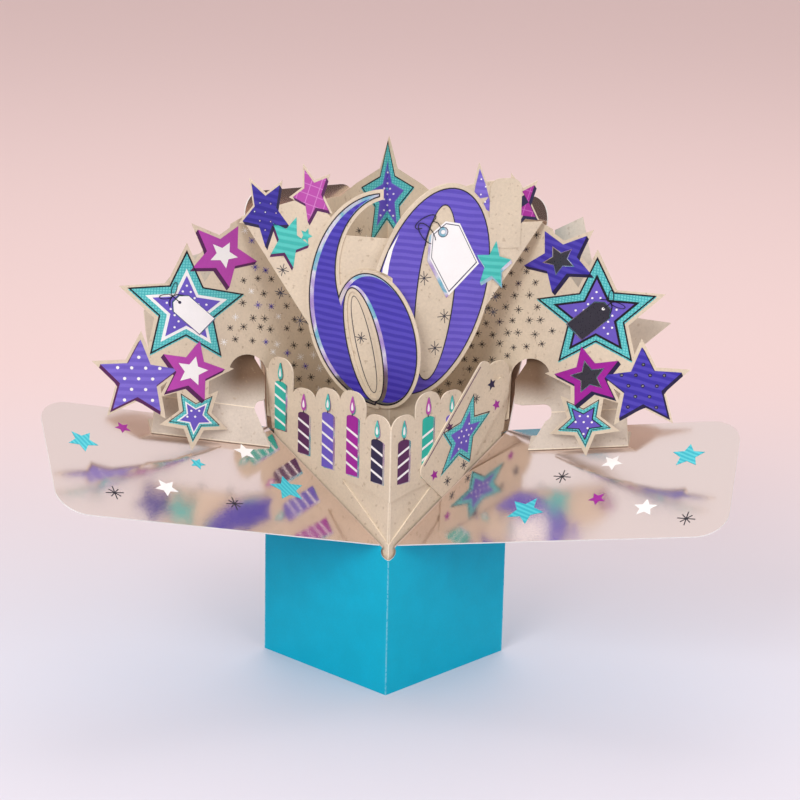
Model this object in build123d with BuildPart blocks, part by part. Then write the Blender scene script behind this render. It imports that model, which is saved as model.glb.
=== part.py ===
from build123d import *
import os
from math import cos, radians, sin, sqrt

# A box-type pop-up birthday card, standing open. Millimetres and degrees, +Z up, the origin on the
# table under the middle of the square tube, the front corner of the tube towards -Y.

# Board: every sheet is one board thick, and glued sheets lie one glue line apart
board = 0.5
glue_line = 0.1
stack = board + glue_line
crease_roll = 0.6 * board

# Sleeve: the tube's walls, the slanted creases, the front flaps and the back panels
wall_width = 62.0
front_height = 53.0
side_height = 85.5
front_panel_height = 171.0
back_panel_height = 171.0
left_flap_fold = 91.0
right_flap_fold = 95.0
left_back_lean = 10.0
right_back_lean = 14.0
back_panel_fall = 4.0
flap_corner = 11.0
flap_inset = 4.0
back_corner = 9.0
relief_radius = 2.6

half_diagonal = wall_width / sqrt(2)
crease_rise = side_height - front_height

# Star backdrop: its bend past the side corner, and its outline, which is drawn on a plane tilted back
# like the eye's and measured there from the side corner
backdrop_foot = 4.5
bend_start = 20.0
bend_radius = 95.0
bend_sweep = 36.0
star_waist = 0.47
arch_reach = 6.9
outline_tilt = 15.5
arch_rise = 19.8
arch_radius = 6.3
shoulder_rise = 86.5
shoulder_reach = 18.2
shoulder_end_rise = 75.1
shoulder_end_reach = 9.1
shoulder_step_rise = 72.0
shoulder_step_reach = 13.4
crown_rise = 111.7
crown_arm = 12.5
crown_arm_rise = 5.4
crown_waist = 3.4
crown_waist_rise = 12.3
star_neck = 7.0
# Each star: reach past the side corner, rise above it, radius of the cut, turn
wing_stars = {
    "upper": (15.7, 61.0, 14.6, 47.0),
    "great": (27.7, 40.9, 23.2, 0.0),
    "outer": (43.2, 16.6, 16.4, -2.6),
    "middle": (25.6, 19.6, 14.0, -13.0),
    "lower": (24.5, 3.7, 12.0, 32.0),
}

# Number fan: two upright pages that meet at the middle in front, on a strip inside the tube.
# Heights on the fan, the numeral and the banner are measured from the tube's side corners
fan_front = 14.0
fan_turn = 17.0
fan_strip_low = -53.5
fan_strip_high = -9.5
fan_tab = 9.0
fan_neck = 13.5
fan_neck_rise = 15.5
fan_corner_reach = 56.0
fan_corner_rise = 77.0
fan_crest = 73.0
fan_crest_reach = 17.0
zero_centre = (14.1, 53.5)
zero_half = (22.0, 39.4)
zero_tilt = 14.9
page_tab_centre = 41.5
page_tab_width = 12.0
page_tab_foot = 68.0
page_tab_rise = 93.0
# Each star of a page: distance from the middle, rise, radius of the cut, turn; all of them are slim
page_star_slim = 0.72
left_page_stars = [(46.8, 79.2, 14.4, 36.0), (29.6, 86.4, 11.9, -24.0)]
right_page_stars = [(47.0, 83.6, 12.2, 24.0), (32.1, 87.6, 11.4, 6.0)]

# Numeral six: a crescent stem, a round bowl and its counter, each with its centre and half sizes
six_outer = ((1.6, 50.8), (29.8, 39.7))
six_inner = ((-1.0, 61.0), (20.2, 26.5))
six_bowl = ((5.2, 36.6), (15.8, 25.4))
six_counter = ((9.7, 34.3), (4.6, 19.5))
six_tip = 3.5
six_lean = 13.5

# Banner: candle-shaped lobes along the top, a hanging tongue over a window in the front corner, and a
# lining pasted behind the window
banner_foot = -61.5
banner_shoulder = 11.5
banner_side_gap = 4.0
banner_end_low = -2.9
banner_end_high = 0.4
lobe_width = 12.6
lobe_radius = 5.2
lobe_first = 6.2
lobe_last_gap = 7.1
lobe_root = 2.0
lobe_rises = [15.9, 22.0, 20.5, 18.0, 27.0]
window_reach = 23.5
window_high = -10.9
tongue_low = -14.5
tongue_middle = -12.3
lining_margin = 5.0

# Tag: a long label tucked behind the right front wall's crease
tag_length = 49.0
tag_width = 21.5
tag_turn = 47.6
tag_corner = 3.5
tag_notch = 2.4
tag_end_reach = 0.9
tag_rise = 4.5

# Wing stays: a strip glued on the flap, folded up to a leg and folded again behind the stars.
# Distances along a stay are measured up the flap from the height of its crease's high end
stay_inset = 11.5
stay_strip = 7.2
stay_head = 46.0
stay_leg = 13.0
stay_leg_slope = 48.0
stay_rear_slope = 30.0
stay_slot_radius = 3.2
# On each stay: where its strip starts, how far the leg's inner edge steps out, and the slot's end
left_start = 1.5
left_step = 7.5
left_slot_end = 5.5
right_start = 9.5
right_step = 9.0
right_slot_end = 15.5
# The rear panel's free edge as heights above the fold and distances along: a side tip and a top corner,
# which reach further on the right stay, the edge between them, and the inner edge behind the arch
stay_tip_root = 49.5
stay_tip_low = 22.0
stay_tip_rise = 31.5
stay_tip_high = 34.0
left_tip_reach = 1.0
right_tip_reach = 11.8
left_top = 58.0
right_top = 75.1
stay_top_along = 27.8
stay_top_width = 10.4
stay_top_drop = 4.5
stay_rear_edge = [(46.0, 41.0), (56.0, 32.0)]
stay_inner_edge = [(36.0, 17.0), (28.0, 9.4), (19.0, 8.6), (13.0, 4.8), (4.0, 4.8)]

front_corner = Vector(0, -half_diagonal, 0)
back_corner_foot = Vector(0, half_diagonal, 0)
left_corner = Vector(-half_diagonal, 0, 0)
right_corner = Vector(half_diagonal, 0, 0)
upright = Vector(0, 0, 1)
corner_level = upright * side_height
left_wall_dir = (left_corner - front_corner).normalized()
right_wall_dir = (right_corner - front_corner).normalized()


def folded_plane(foot, side, fold):
    """The plane of a wall's upper panel, turned outwards by fold about the wall's slanted crease.
    Its origin is the crease's low end, its x axis runs along the wall and its y axis up the panel."""
    along = (side - foot).normalized()
    crease = (along * wall_width + upright * crease_rise).normalized()
    outwards = (side + foot).normalized()
    hand = 1 if along.cross(upright).dot(outwards) > 0 else -1
    hinge = Axis(origin=(0, 0, 0), direction=crease)
    along_folded = along.rotate(hinge, hand * fold)
    up_folded = upright.rotate(hinge, hand * fold)
    low_end = foot + upright * front_height
    return Plane(origin=low_end, x_dir=along_folded, z_dir=along_folded.cross(up_folded))


def upright_plane(origin, direction):
    """An upright plane: x axis along direction, y axis up."""
    return Plane(origin=origin, x_dir=direction, z_dir=direction.cross(upright))


def inside_corner(corner, sheets):
    """A tube corner moved inwards until its two walls lie that many sheets inside the tube's walls."""
    return corner - corner.normalized() * (sheets * stack * sqrt(2))


def star_points(radius, turn, slim=1.0):
    """The ten corners of a five-pointed star with one tip up, turned anticlockwise and then slimmed."""
    corners = []
    for step in range(10):
        reach = radius if step % 2 == 0 else radius * star_waist
        angle = radians(90 + turn + 36 * step)
        corners.append((slim * reach * cos(angle), reach * sin(angle)))
    return corners


def outline(plane, points):
    """A face on a plane inside straight edges."""
    with BuildSketch(plane) as cut:
        with BuildLine():
            Polyline(*points, close=True)
        make_face()
    return cut.sketch


def crease_section(start, end):
    """The round section of a crease, at its start and square to it."""
    with BuildSketch(Plane(origin=start, z_dir=end - start)) as section:
        Circle(crease_roll)
    return section.sketch


def flap_outline(plane, height, corner, inset=0.0, fall=0.0):
    """A wall's upper panel from its slanted crease to its far end with rounded corners. Its edge at the
    crease's low end can stand inset from the tube's corner, and its far end can fall towards that edge."""
    reach = height - front_height
    inset_rise = inset * crease_rise / wall_width
    with BuildSketch(plane) as panel:
        with BuildLine():
            Polyline(
                (inset, inset_rise),
                (wall_width, crease_rise),
                (wall_width, reach),
                (inset, reach - fall),
                close=True,
            )
        make_face()
        fillet(panel.vertices().sort_by(Axis.Y)[-2:], corner)
    return panel.sketch


left_flap = folded_plane(front_corner, left_corner, left_flap_fold)
right_flap = folded_plane(front_corner, right_corner, right_flap_fold)
left_back = folded_plane(back_corner_foot, left_corner, left_back_lean)
right_back = folded_plane(back_corner_foot, right_corner, right_back_lean)

# Sleeve: the square tube with its gabled top, and the four panels that fold on from its creases
with BuildPart() as sleeve:
    with BuildSketch():
        Rectangle(wall_width + board, wall_width + board, rotation=45)
        Rectangle(wall_width - board, wall_width - board, rotation=45, mode=Mode.SUBTRACT)
    extrude(amount=side_height)
    with BuildSketch(Plane.YZ):
        gable_reach = half_diagonal + board
        gable_foot = front_height - board * crease_rise / half_diagonal
        with BuildLine():
            Polyline(
                (-gable_reach, 0),
                (gable_reach, 0),
                (gable_reach, gable_foot),
                (0, side_height),
                (-gable_reach, gable_foot),
                close=True,
            )
        make_face()
    extrude(amount=wall_width, both=True, mode=Mode.INTERSECT)
    for flap in (left_flap, right_flap):
        panel = flap_outline(flap, front_panel_height, flap_corner, flap_inset)
        extrude(panel, amount=board / 2, both=True)
    for back in (left_back, right_back):
        panel = flap_outline(back, back_panel_height, back_corner, fall=back_panel_fall)
        extrude(panel, amount=board / 2, both=True)
    crease_length = sqrt(wall_width**2 + crease_rise**2)
    for foot in (front_corner, back_corner_foot):
        for side in (left_corner, right_corner):
            low_end = foot + upright * front_height
            high_end = side + corner_level
            extrude(crease_section(low_end, high_end), amount=crease_length)
    with BuildSketch(Plane.XZ.offset(half_diagonal - relief_radius * 2)):
        with Locations((0, front_height)):
            Circle(relief_radius)
    extrude(amount=relief_radius * 4, mode=Mode.SUBTRACT)

# Star backdrop: a band in plan, straight along the back panel and bent past its edge, raised along
# the leaning edge and cut square to the tilted outline, then the same for the other half
inside_left_back = left_back.offset(-stack)
side_edge = left_back.y_dir
level_run = (left_back.z_dir.cross(upright)).normalized()
if level_run.X > 0:
    level_run = -level_run
edge_foot = inside_left_back.from_local_coords((wall_width, 0))
plan_plane = Plane(origin=edge_foot, x_dir=level_run, z_dir=upright)
page_run = 2 * wall_width
band_margin = 20.0
band_height = side_height + crown_rise + band_margin
tilt_sin = sin(radians(outline_tilt))
tilt_cos = cos(radians(outline_tilt))
outline_plane = Plane(origin=corner_level, x_dir=(1, 0, 0), z_dir=(0, -tilt_cos, tilt_sin))
gutter_foot = outline_plane.to_local_coords(back_corner_foot + upright * (front_height + backdrop_foot))
side_foot = outline_plane.to_local_coords(left_corner + upright * (side_height + backdrop_foot))

with BuildPart() as backdrop:
    with BuildSketch(plan_plane):
        with BuildLine():
            Line((-page_run, 0), (bend_start, 0))
            CenterArc((bend_start, -bend_radius), bend_radius, 90, -bend_sweep)
        trace(line_width=board)
    extrude(amount=band_height, dir=side_edge)
    with BuildSketch(outline_plane):
        upper, great, outer, middle, lower = (
            (-half_diagonal - star[0], star[1]) for star in wing_stars.values()
        )
        arch_inner = (-half_diagonal - arch_reach + arch_radius, arch_rise)
        arch_outer = (-half_diagonal - arch_reach - arch_radius, arch_rise)
        with BuildLine():
            Polyline((0, gutter_foot.Y), (side_foot.X, side_foot.Y), arch_inner)
            RadiusArc(arch_inner, arch_outer, -arch_radius)
            Polyline(
                arch_outer,
                middle,
                outer,
                great,
                upper,
                (-half_diagonal - shoulder_step_reach, shoulder_step_rise),
                (-half_diagonal - shoulder_end_reach, shoulder_end_rise),
                (-shoulder_reach, shoulder_rise),
                (-crown_arm, shoulder_rise + crown_arm_rise),
                (-crown_waist, shoulder_rise + crown_waist_rise),
                (0, crown_rise),
                (0, gutter_foot.Y),
            )
        make_face()
        for reach, rise, radius, turn in wing_stars.values():
            with Locations((-half_diagonal - reach, rise)):
                Polygon(*star_points(radius, turn), align=None)
        with Locations(((middle[0] + lower[0]) / 2, (middle[1] + lower[1]) / 2)):
            Rectangle(star_neck, middle[1] - lower[1])
    extrude(amount=2 * front_panel_height, both=True, mode=Mode.INTERSECT)
    mirror(about=Plane.YZ)

# Number fan: the left page, the right page with the zero, the centre crease and the glue tabs,
# which turn forward where the strip meets the back of the banner
left_page_dir = Vector(-cos(radians(fan_turn)), sin(radians(fan_turn)), 0)
right_page_dir = Vector(cos(radians(fan_turn)), sin(radians(fan_turn)), 0)
fan_origin = Vector(0, -fan_front, 0) + corner_level
left_page = upright_plane(fan_origin, left_page_dir)
right_page = upright_plane(fan_origin, right_page_dir)
tab_depth = -inside_corner(front_corner, 3).Y - fan_front
strip_reach = tab_depth / (cos(radians(fan_turn)) - sin(radians(fan_turn)))
strip_height = fan_strip_high - fan_strip_low
fan_foot = [(0, fan_strip_low), (strip_reach, fan_strip_low), (strip_reach, fan_strip_high)]
fan_edge = [(fan_neck, fan_strip_high), (fan_neck, fan_neck_rise), (fan_corner_reach, fan_corner_rise)]

with BuildPart() as fan:
    with BuildSketch(left_page):
        crown_star = left_page_stars[1]
        with BuildLine():
            Polyline(
                *fan_foot,
                *fan_edge,
                (crown_star[0], crown_star[1]),
                (fan_crest_reach, fan_crest),
                (0, fan_crest),
                close=True,
            )
        make_face()
        for reach, rise, radius, turn in left_page_stars:
            with Locations((reach, rise)):
                Polygon(*star_points(radius, turn, page_star_slim), align=None)
    extrude(amount=board / 2, both=True)
    with BuildSketch(right_page):
        tip_star = right_page_stars[1]
        with BuildLine():
            Polyline(
                *fan_foot,
                *fan_edge,
                (page_tab_centre, fan_corner_rise),
                (tip_star[0], tip_star[1]),
                (0, fan_crest),
                close=True,
            )
        make_face()
        with Locations(zero_centre):
            Ellipse(*zero_half, rotation=-zero_tilt)
        with Locations((page_tab_centre, page_tab_foot)):
            RectangleRounded(
                page_tab_width,
                page_tab_rise - page_tab_foot,
                page_tab_width / 3,
                align=(Align.CENTER, Align.MIN),
            )
        for reach, rise, radius, turn in right_page_stars:
            with Locations((reach, rise)):
                Polygon(*star_points(radius, turn, page_star_slim), align=None)
        split(bisect_by=Plane.YZ, keep=Keep.TOP)
    extrude(amount=board / 2, both=True)
    crease_foot = fan_origin + upright * fan_strip_low
    extrude(crease_section(crease_foot, crease_foot + upright), amount=fan_crest - fan_strip_low)
    for page_dir, wall_dir in ((left_page_dir, left_wall_dir), (right_page_dir, right_wall_dir)):
        tab_fold = crease_foot + page_dir * strip_reach
        tab = upright_plane(tab_fold, -wall_dir)
        tab_corners = [(0, 0), (fan_tab, 0), (fan_tab, strip_height), (0, strip_height)]
        extrude(outline(tab, tab_corners), amount=board / 2, both=True)
        extrude(crease_section(tab_fold, tab_fold + upright), amount=strip_height)

# Numeral six: glued on the front of the fan's left page, reaching past its centre fold
with BuildPart() as six:
    with BuildSketch(left_page.offset(-stack)):
        with Locations(six_outer[0]):
            Ellipse(*six_outer[1])
        with Locations(six_inner[0]):
            Ellipse(*six_inner[1], mode=Mode.SUBTRACT)
        split(bisect_by=Plane.YZ.offset(six_tip), keep=Keep.TOP)
        with Locations(six_bowl[0]):
            Ellipse(*six_bowl[1], rotation=-six_lean)
        with Locations(six_counter[0]):
            Ellipse(*six_counter[1], rotation=-six_lean, mode=Mode.SUBTRACT)
    extrude(amount=board / 2, both=True)

# Banner: two sheets inside the front walls, folded at the front corner with them
banner_origin = inside_corner(front_corner, 2) + corner_level
banner_page = upright_plane(banner_origin, left_wall_dir)
banner_reach = wall_width - banner_side_gap
window_low = relief_radius - crease_rise
lobe_step = (wall_width - lobe_last_gap - lobe_first) / (len(lobe_rises) - 1)

with BuildPart() as banner:
    with BuildSketch(banner_page):
        with BuildLine():
            Polyline(
                (0, banner_foot),
                (banner_reach, banner_foot),
                (banner_reach, 0),
                (wall_width + banner_end_low, 0),
                (wall_width + banner_end_high, lobe_rises[-1] - lobe_radius),
                (wall_width - lobe_last_gap, banner_shoulder),
                (0, banner_shoulder),
                close=True,
            )
        make_face()
        for index, rise in enumerate(lobe_rises):
            with Locations((lobe_first + index * lobe_step, rise)):
                lobe_height = rise - banner_shoulder + lobe_radius + lobe_root
                RectangleRounded(lobe_width, lobe_height, lobe_radius, align=(Align.CENTER, Align.MAX))
        with BuildLine():
            Polyline((0, tongue_low), (0, window_low), (window_reach, window_high))
            ThreePointArc((window_reach, window_high), (window_reach / 2, tongue_middle), (0, tongue_low))
        make_face(mode=Mode.SUBTRACT)
        split(bisect_by=Plane.YZ, keep=Keep.TOP)
    extrude(amount=board / 2, both=True)
    lining_reach = window_reach + lining_margin
    lining_high = window_high + lining_margin
    lining_corners = [
        (0, banner_foot),
        (lining_reach, banner_foot),
        (lining_reach, lining_high),
        (0, lining_high),
    ]
    extrude(outline(banner_page.offset(board), lining_corners), amount=board / 2, both=True)
    mirror(about=Plane.YZ)
    for low, high in ((banner_foot, window_low), (tongue_low, banner_shoulder)):
        fold_foot = banner_origin + upright * low
        extrude(crease_section(fold_foot, fold_foot + upright), amount=high - low)

# Tag: between the right front wall and the banner, its far end just past the side corner
tag_page = upright_plane(inside_corner(front_corner, 1) + corner_level, right_wall_dir)
tag_half_reach = (tag_length * cos(radians(tag_turn)) + tag_width * sin(radians(tag_turn))) / 2
tag_centre = (wall_width + tag_end_reach - tag_half_reach, tag_rise)
tag_head = (
    tag_centre[0] + tag_length / 2 * cos(radians(tag_turn)),
    tag_centre[1] + tag_length / 2 * sin(radians(tag_turn)),
)

with BuildPart() as tag:
    with BuildSketch(tag_page):
        with Locations(tag_centre):
            RectangleRounded(tag_length, tag_width, tag_corner, rotation=tag_turn)
        with Locations(tag_head):
            Circle(tag_notch, mode=Mode.SUBTRACT)
    extrude(amount=board / 2, both=True)


def slotted(plane, points, fold, slot_end):
    """A panel of a wing stay with the round-ended slot that is cut across the fold at its height."""
    with BuildSketch(plane) as panel:
        with BuildLine():
            Polyline(*points, close=True)
        make_face()
        with Locations((fold, crease_rise + slot_end)):
            Circle(stay_slot_radius, mode=Mode.SUBTRACT)
            Rectangle(
                2 * stay_slot_radius,
                slot_end + crease_rise,
                align=(Align.CENTER, Align.MAX),
                mode=Mode.SUBTRACT,
            )
    return panel.sketch


def turned_plane(plane, origin, face, slope):
    """A plane through origin that rises from another by slope, with the same y axis."""
    rise_dir = plane.x_dir * cos(radians(slope)) + plane.z_dir * (face * sin(radians(slope)))
    return Plane(origin=origin, x_dir=rise_dir, z_dir=rise_dir.cross(plane.y_dir))


def stay_panels(flap, face, start, step, slot_end, tip_reach, top):
    """The glue strip, leg and rear panel of the stay on a flap, and its two crease sections. Face says
    on which side of the flap's plane the foil is."""
    foot = crease_rise + start
    head = crease_rise + stay_head
    strip = flap.offset(face * stack)
    fold = wall_width - stay_inset
    strip_end = fold + stay_strip
    leg = turned_plane(strip, strip.from_local_coords((fold, 0)), face, stay_leg_slope)
    rear = turned_plane(strip, leg.from_local_coords((stay_leg, 0)), face, stay_rear_slope)
    strip_face = outline(strip, [(fold, foot), (strip_end, foot), (strip_end, head), (fold, head)])
    leg_corners = [(0, foot), (stay_leg, foot + step), (stay_leg, head), (0, head)]
    leg_face = slotted(leg, leg_corners, stay_leg, slot_end)
    tip = [
        (stay_tip_low, stay_tip_root),
        (stay_tip_rise, stay_tip_root + tip_reach),
        (stay_tip_high, stay_tip_root),
    ]
    top_corner = [(top, stay_top_along), (top - stay_top_drop, stay_top_along - stay_top_width)]
    edge = [*tip, *stay_rear_edge, *top_corner, *stay_inner_edge]
    free_edge = [(rise, crease_rise + along) for rise, along in edge]
    rear_face = slotted(rear, [(0, foot + step), (0, head), *free_edge], 0, slot_end)
    fold_foot = max(crease_rise + slot_end + stay_slot_radius, foot + step)
    leg_crease = crease_section(leg.from_local_coords((0, foot)), leg.from_local_coords((0, head)))
    rear_crease = crease_section(rear.from_local_coords((0, fold_foot)), rear.from_local_coords((0, head)))
    creases = ((leg_crease, head - foot), (rear_crease, head - fold_foot))
    return (strip_face, leg_face, rear_face), creases


# Wing stays: on the foil of each front flap, up through the arch and behind the star cluster
left_panels, left_creases = stay_panels(
    left_flap, 1, left_start, left_step, left_slot_end, left_tip_reach, left_top
)
with BuildPart() as left_stay:
    for panel in left_panels:
        extrude(panel, amount=board / 2, both=True)
    for section, length in left_creases:
        extrude(section, amount=length)

right_panels, right_creases = stay_panels(
    right_flap, -1, right_start, right_step, right_slot_end, right_tip_reach, right_top
)
with BuildPart() as right_stay:
    for panel in right_panels:
        extrude(panel, amount=board / 2, both=True)
    for section, length in right_creases:
        extrude(section, amount=length)

sleeve.part.label = "sleeve"
backdrop.part.label = "star_backdrop"
fan.part.label = "number_fan"
six.part.label = "numeral_six"
banner.part.label = "banner"
tag.part.label = "tag"
left_stay.part.label = "left_wing_stay"
right_stay.part.label = "right_wing_stay"

os.makedirs("parts", exist_ok=True)
export_step(sleeve.part, "parts/sleeve.step")
export_step(backdrop.part, "parts/star_backdrop.step")
export_step(fan.part, "parts/number_fan.step")
export_step(six.part, "parts/numeral_six.step")
export_step(banner.part, "parts/banner.step")
export_step(tag.part, "parts/tag.step")
export_step(left_stay.part, "parts/left_wing_stay.step")
export_step(right_stay.part, "parts/right_wing_stay.step")
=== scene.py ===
# %% [markdown]
# # A pop-up birthday card, standing open
# The card is a square tube of teal card with foil-faced flaps. Die-cut kraft sheets stand up in it: a
# backdrop of stars, a fan with two numerals, a banner of candles and a tag. The solids come from the
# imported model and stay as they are. Blender gives them their card, foil and print.

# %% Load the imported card
import math
import random

import bmesh
import bpy
from mathutils import Matrix, Vector
from mathutils.bvhtree import BVHTree
from mathutils.geometry import delaunay_2d_cdt


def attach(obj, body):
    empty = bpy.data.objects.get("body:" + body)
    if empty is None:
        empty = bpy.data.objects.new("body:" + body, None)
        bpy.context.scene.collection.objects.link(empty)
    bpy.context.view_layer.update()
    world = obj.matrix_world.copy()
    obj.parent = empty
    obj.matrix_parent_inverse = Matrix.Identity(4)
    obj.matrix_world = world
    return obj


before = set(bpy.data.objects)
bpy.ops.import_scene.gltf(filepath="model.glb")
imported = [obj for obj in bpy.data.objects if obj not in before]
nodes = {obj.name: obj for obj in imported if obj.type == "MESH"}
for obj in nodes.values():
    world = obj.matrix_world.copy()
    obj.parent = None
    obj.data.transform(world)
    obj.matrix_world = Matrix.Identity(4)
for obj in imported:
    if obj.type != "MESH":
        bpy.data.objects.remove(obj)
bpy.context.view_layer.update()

MM = 0.001
print("nodes of the card:", sorted(nodes))

# %% [markdown]
# ## The camera
# The photograph looks down at the card by about fifteen degrees, from a little left of its front corner.
# A long lens keeps the upright edges almost parallel. The camera's axes are worked out from a pan, a
# pitch and a roll, because that keeps each of the three readable.

# %% Camera at the photograph's angle
EYE = Vector((-20.4, -800.0, 318.3)) * MM
PAN = 0.0307
PITCH = 0.2704
ROLL = -0.0224
FOCAL_PIXELS = 2296
PHOTO_PIXELS = 800
SENSOR_WIDTH = 36.0

UPRIGHT = Vector((0, 0, 1))
look = Vector((math.sin(PAN) * math.cos(PITCH), math.cos(PAN) * math.cos(PITCH), -math.sin(PITCH)))
level_right = look.cross(UPRIGHT).normalized()
level_up = level_right.cross(look)
camera_right = level_right * math.cos(ROLL) - level_up * math.sin(ROLL)
camera_up = level_right * math.sin(ROLL) + level_up * math.cos(ROLL)

camera_data = bpy.data.cameras.new("photo_camera")
camera_data.sensor_width = SENSOR_WIDTH
camera_data.lens = FOCAL_PIXELS / PHOTO_PIXELS * SENSOR_WIDTH
camera = bpy.data.objects.new("photo_camera", camera_data)
bpy.context.scene.collection.objects.link(camera)
camera_axes = Matrix((camera_right, camera_up, -look)).transposed()
camera.matrix_world = Matrix.Translation(EYE) @ camera_axes.to_4x4()
bpy.context.scene.camera = camera
print("camera lens in mm:", round(camera_data.lens, 1))

# %% [markdown]
# ## Nodes in a few words
# Every finish below is a tree of shader nodes. A few small helpers keep those trees short: one makes a
# node with its settings and inputs, and the others make the kinds that come up most, such as a sum, a
# mix of two colours and soft noise. An input can be a value or another node's output, and the first
# helper tells them apart.


# %% Helpers for node trees
def ink_colour(red, green, blue):
    """A colour on screen, 0 to 255, as the linear values that a shader needs."""
    linear = []
    for channel in (red, green, blue):
        share = channel / 255
        linear.append(share / 12.92 if share <= 0.04045 else ((share + 0.055) / 1.055) ** 2.4)
    return (*linear, 1.0)


def add_node(tree, kind, settings=None, inputs=None):
    """A new node with its settings and its inputs, each a plain value or another node's output."""
    made = tree.nodes.new(kind)
    for name, value in (settings or {}).items():
        setattr(made, name, value)
    for key, value in (inputs or {}).items():
        if isinstance(value, bpy.types.NodeSocket):
            tree.links.new(value, made.inputs[key])
        else:
            made.inputs[key].default_value = value
    return made


def maths(tree, operation, first, second=0.0):
    """One sum on two values."""
    return add_node(tree, "ShaderNodeMath", {"operation": operation}, {0: first, 1: second}).outputs[0]


def smooth_range(tree, value, low, high, to_low=0.0, to_high=1.0):
    """A value eased from one range into another."""
    settings = {"interpolation_type": "SMOOTHSTEP"}
    inputs = {"Value": value, "From Min": low, "From Max": high, "To Min": to_low, "To Max": to_high}
    return add_node(tree, "ShaderNodeMapRange", settings, inputs).outputs["Result"]


def mix_colours(tree, share, first, second, blend="MIX"):
    """Two colours mixed by a share."""
    settings = {"data_type": "RGBA", "blend_type": blend}
    return add_node(tree, "ShaderNodeMix", settings, {0: share, 6: first, 7: second}).outputs[2]


def noise(tree, place, scale, detail=2.0, roughness=0.5):
    """Soft noise, a value from 0 to 1. The scale counts its features in a metre."""
    inputs = {"Vector": place, "Scale": scale, "Detail": detail, "Roughness": roughness}
    return add_node(tree, "ShaderNodeTexNoise", None, inputs).outputs[0]


def card_place(tree):
    """Where a point is on the card, in metres."""
    return add_node(tree, "ShaderNodeTexCoord").outputs["Object"]


print("node helpers ready")

# %% Helper for node groups
COLOUR = "NodeSocketColor"
VALUE = "NodeSocketFloat"
VECTOR = "NodeSocketVector"
WHITE = (1.0, 1.0, 1.0, 1.0)


def shader_group(name, inputs, outputs):
    """A node group with named sockets. Gives the group, its input node and its output node."""
    group = bpy.data.node_groups.new(name, "ShaderNodeTree")
    for label, kind, value in inputs:
        socket = group.interface.new_socket(label, in_out="INPUT", socket_type=kind)
        socket.default_value = value
    for label, kind in outputs:
        group.interface.new_socket(label, in_out="OUTPUT", socket_type=kind)
    return group, group.nodes.new("NodeGroupInput"), group.nodes.new("NodeGroupOutput")


print("kinds of group sockets:", COLOUR, VALUE, VECTOR)

# %% [markdown]
# ## Effects that many finishes share
# Kraft card has soft clouds of tone, fine fibre and a few darker flecks. Printed ink lies on it with a
# slight grain. Many of the stars and both numerals have soft stripes, some stars a fine woven check. A
# scored fold wears to a faint and broken pale line. Each effect is one node group that takes its own
# values in each material, so the whole card ages and prints alike.

# %% Group for card fibre
CLOUD_SCALE = 70
FIBRE_SCALE = 1100
FLECK_SCALE = 620
CLOUD_RANGE = (0.3, 0.7)
FIBRE_RANGE = (0.25, 0.75)
FIBRE_TONES = (0.93, 1.04)
FLECK_RANGE = (0.66, 0.74)


def make_card_fibre():
    """Clouds of tone, fine fibre and a few flecks on the colour of a sheet."""
    inputs = [
        ("Sheet", COLOUR, WHITE),
        ("Fleck", COLOUR, WHITE),
        ("Cloud", VALUE, 0.1),
        ("Fleck Share", VALUE, 0.4),
    ]
    group, given, result = shader_group("Card fibre", inputs, [("Color", COLOUR), ("Height", VALUE)])
    place = card_place(group)
    cloud = noise(group, place, CLOUD_SCALE, detail=3)
    fibre = noise(group, place, FIBRE_SCALE, detail=4, roughness=0.65)
    fleck = noise(group, place, FLECK_SCALE, detail=1)
    darker = maths(group, "SUBTRACT", 1.0, given.outputs["Cloud"])
    tone = smooth_range(group, cloud, *CLOUD_RANGE, darker, 1.0)
    grain = smooth_range(group, fibre, *FIBRE_RANGE, *FIBRE_TONES)
    shade = maths(group, "MULTIPLY", tone, grain)
    toned = mix_colours(group, 1.0, given.outputs["Sheet"], shade, "MULTIPLY")
    fleck_mask = smooth_range(group, fleck, *FLECK_RANGE)
    fleck_share = maths(group, "MULTIPLY", fleck_mask, given.outputs["Fleck Share"])
    group.links.new(mix_colours(group, fleck_share, toned, given.outputs["Fleck"]), result.inputs["Color"])
    group.links.new(fibre, result.inputs["Height"])
    return group


CARD_FIBRE = make_card_fibre()
print("group:", CARD_FIBRE.name)

# %% Group for soft stripes
WOBBLE_SCALE = 90
WOBBLE_SHARE = 0.5
STRIPE_RANGE = (0.17, 0.33)


def make_ink_stripes():
    """Soft stripes of a second colour, counted along a direction."""
    inputs = [("Ink", COLOUR, WHITE), ("Stripe", COLOUR, WHITE), ("Across", VECTOR, (0, 0, 300))]
    group, given, result = shader_group("Ink stripes", inputs, [("Color", COLOUR)])
    place = card_place(group)
    settings = {"operation": "DOT_PRODUCT"}
    count = add_node(group, "ShaderNodeVectorMath", settings, {0: place, 1: given.outputs["Across"]})
    wobble = maths(group, "MULTIPLY", noise(group, place, WOBBLE_SCALE, detail=1), WOBBLE_SHARE)
    step = maths(group, "FRACT", maths(group, "ADD", count.outputs["Value"], wobble))
    wave = maths(group, "ABSOLUTE", maths(group, "SUBTRACT", step, 0.5))
    share = smooth_range(group, wave, *STRIPE_RANGE)
    stripes = mix_colours(group, share, given.outputs["Ink"], given.outputs["Stripe"])
    group.links.new(stripes, result.inputs["Color"])
    return group


INK_STRIPES = make_ink_stripes()
print("group:", INK_STRIPES.name)


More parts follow.
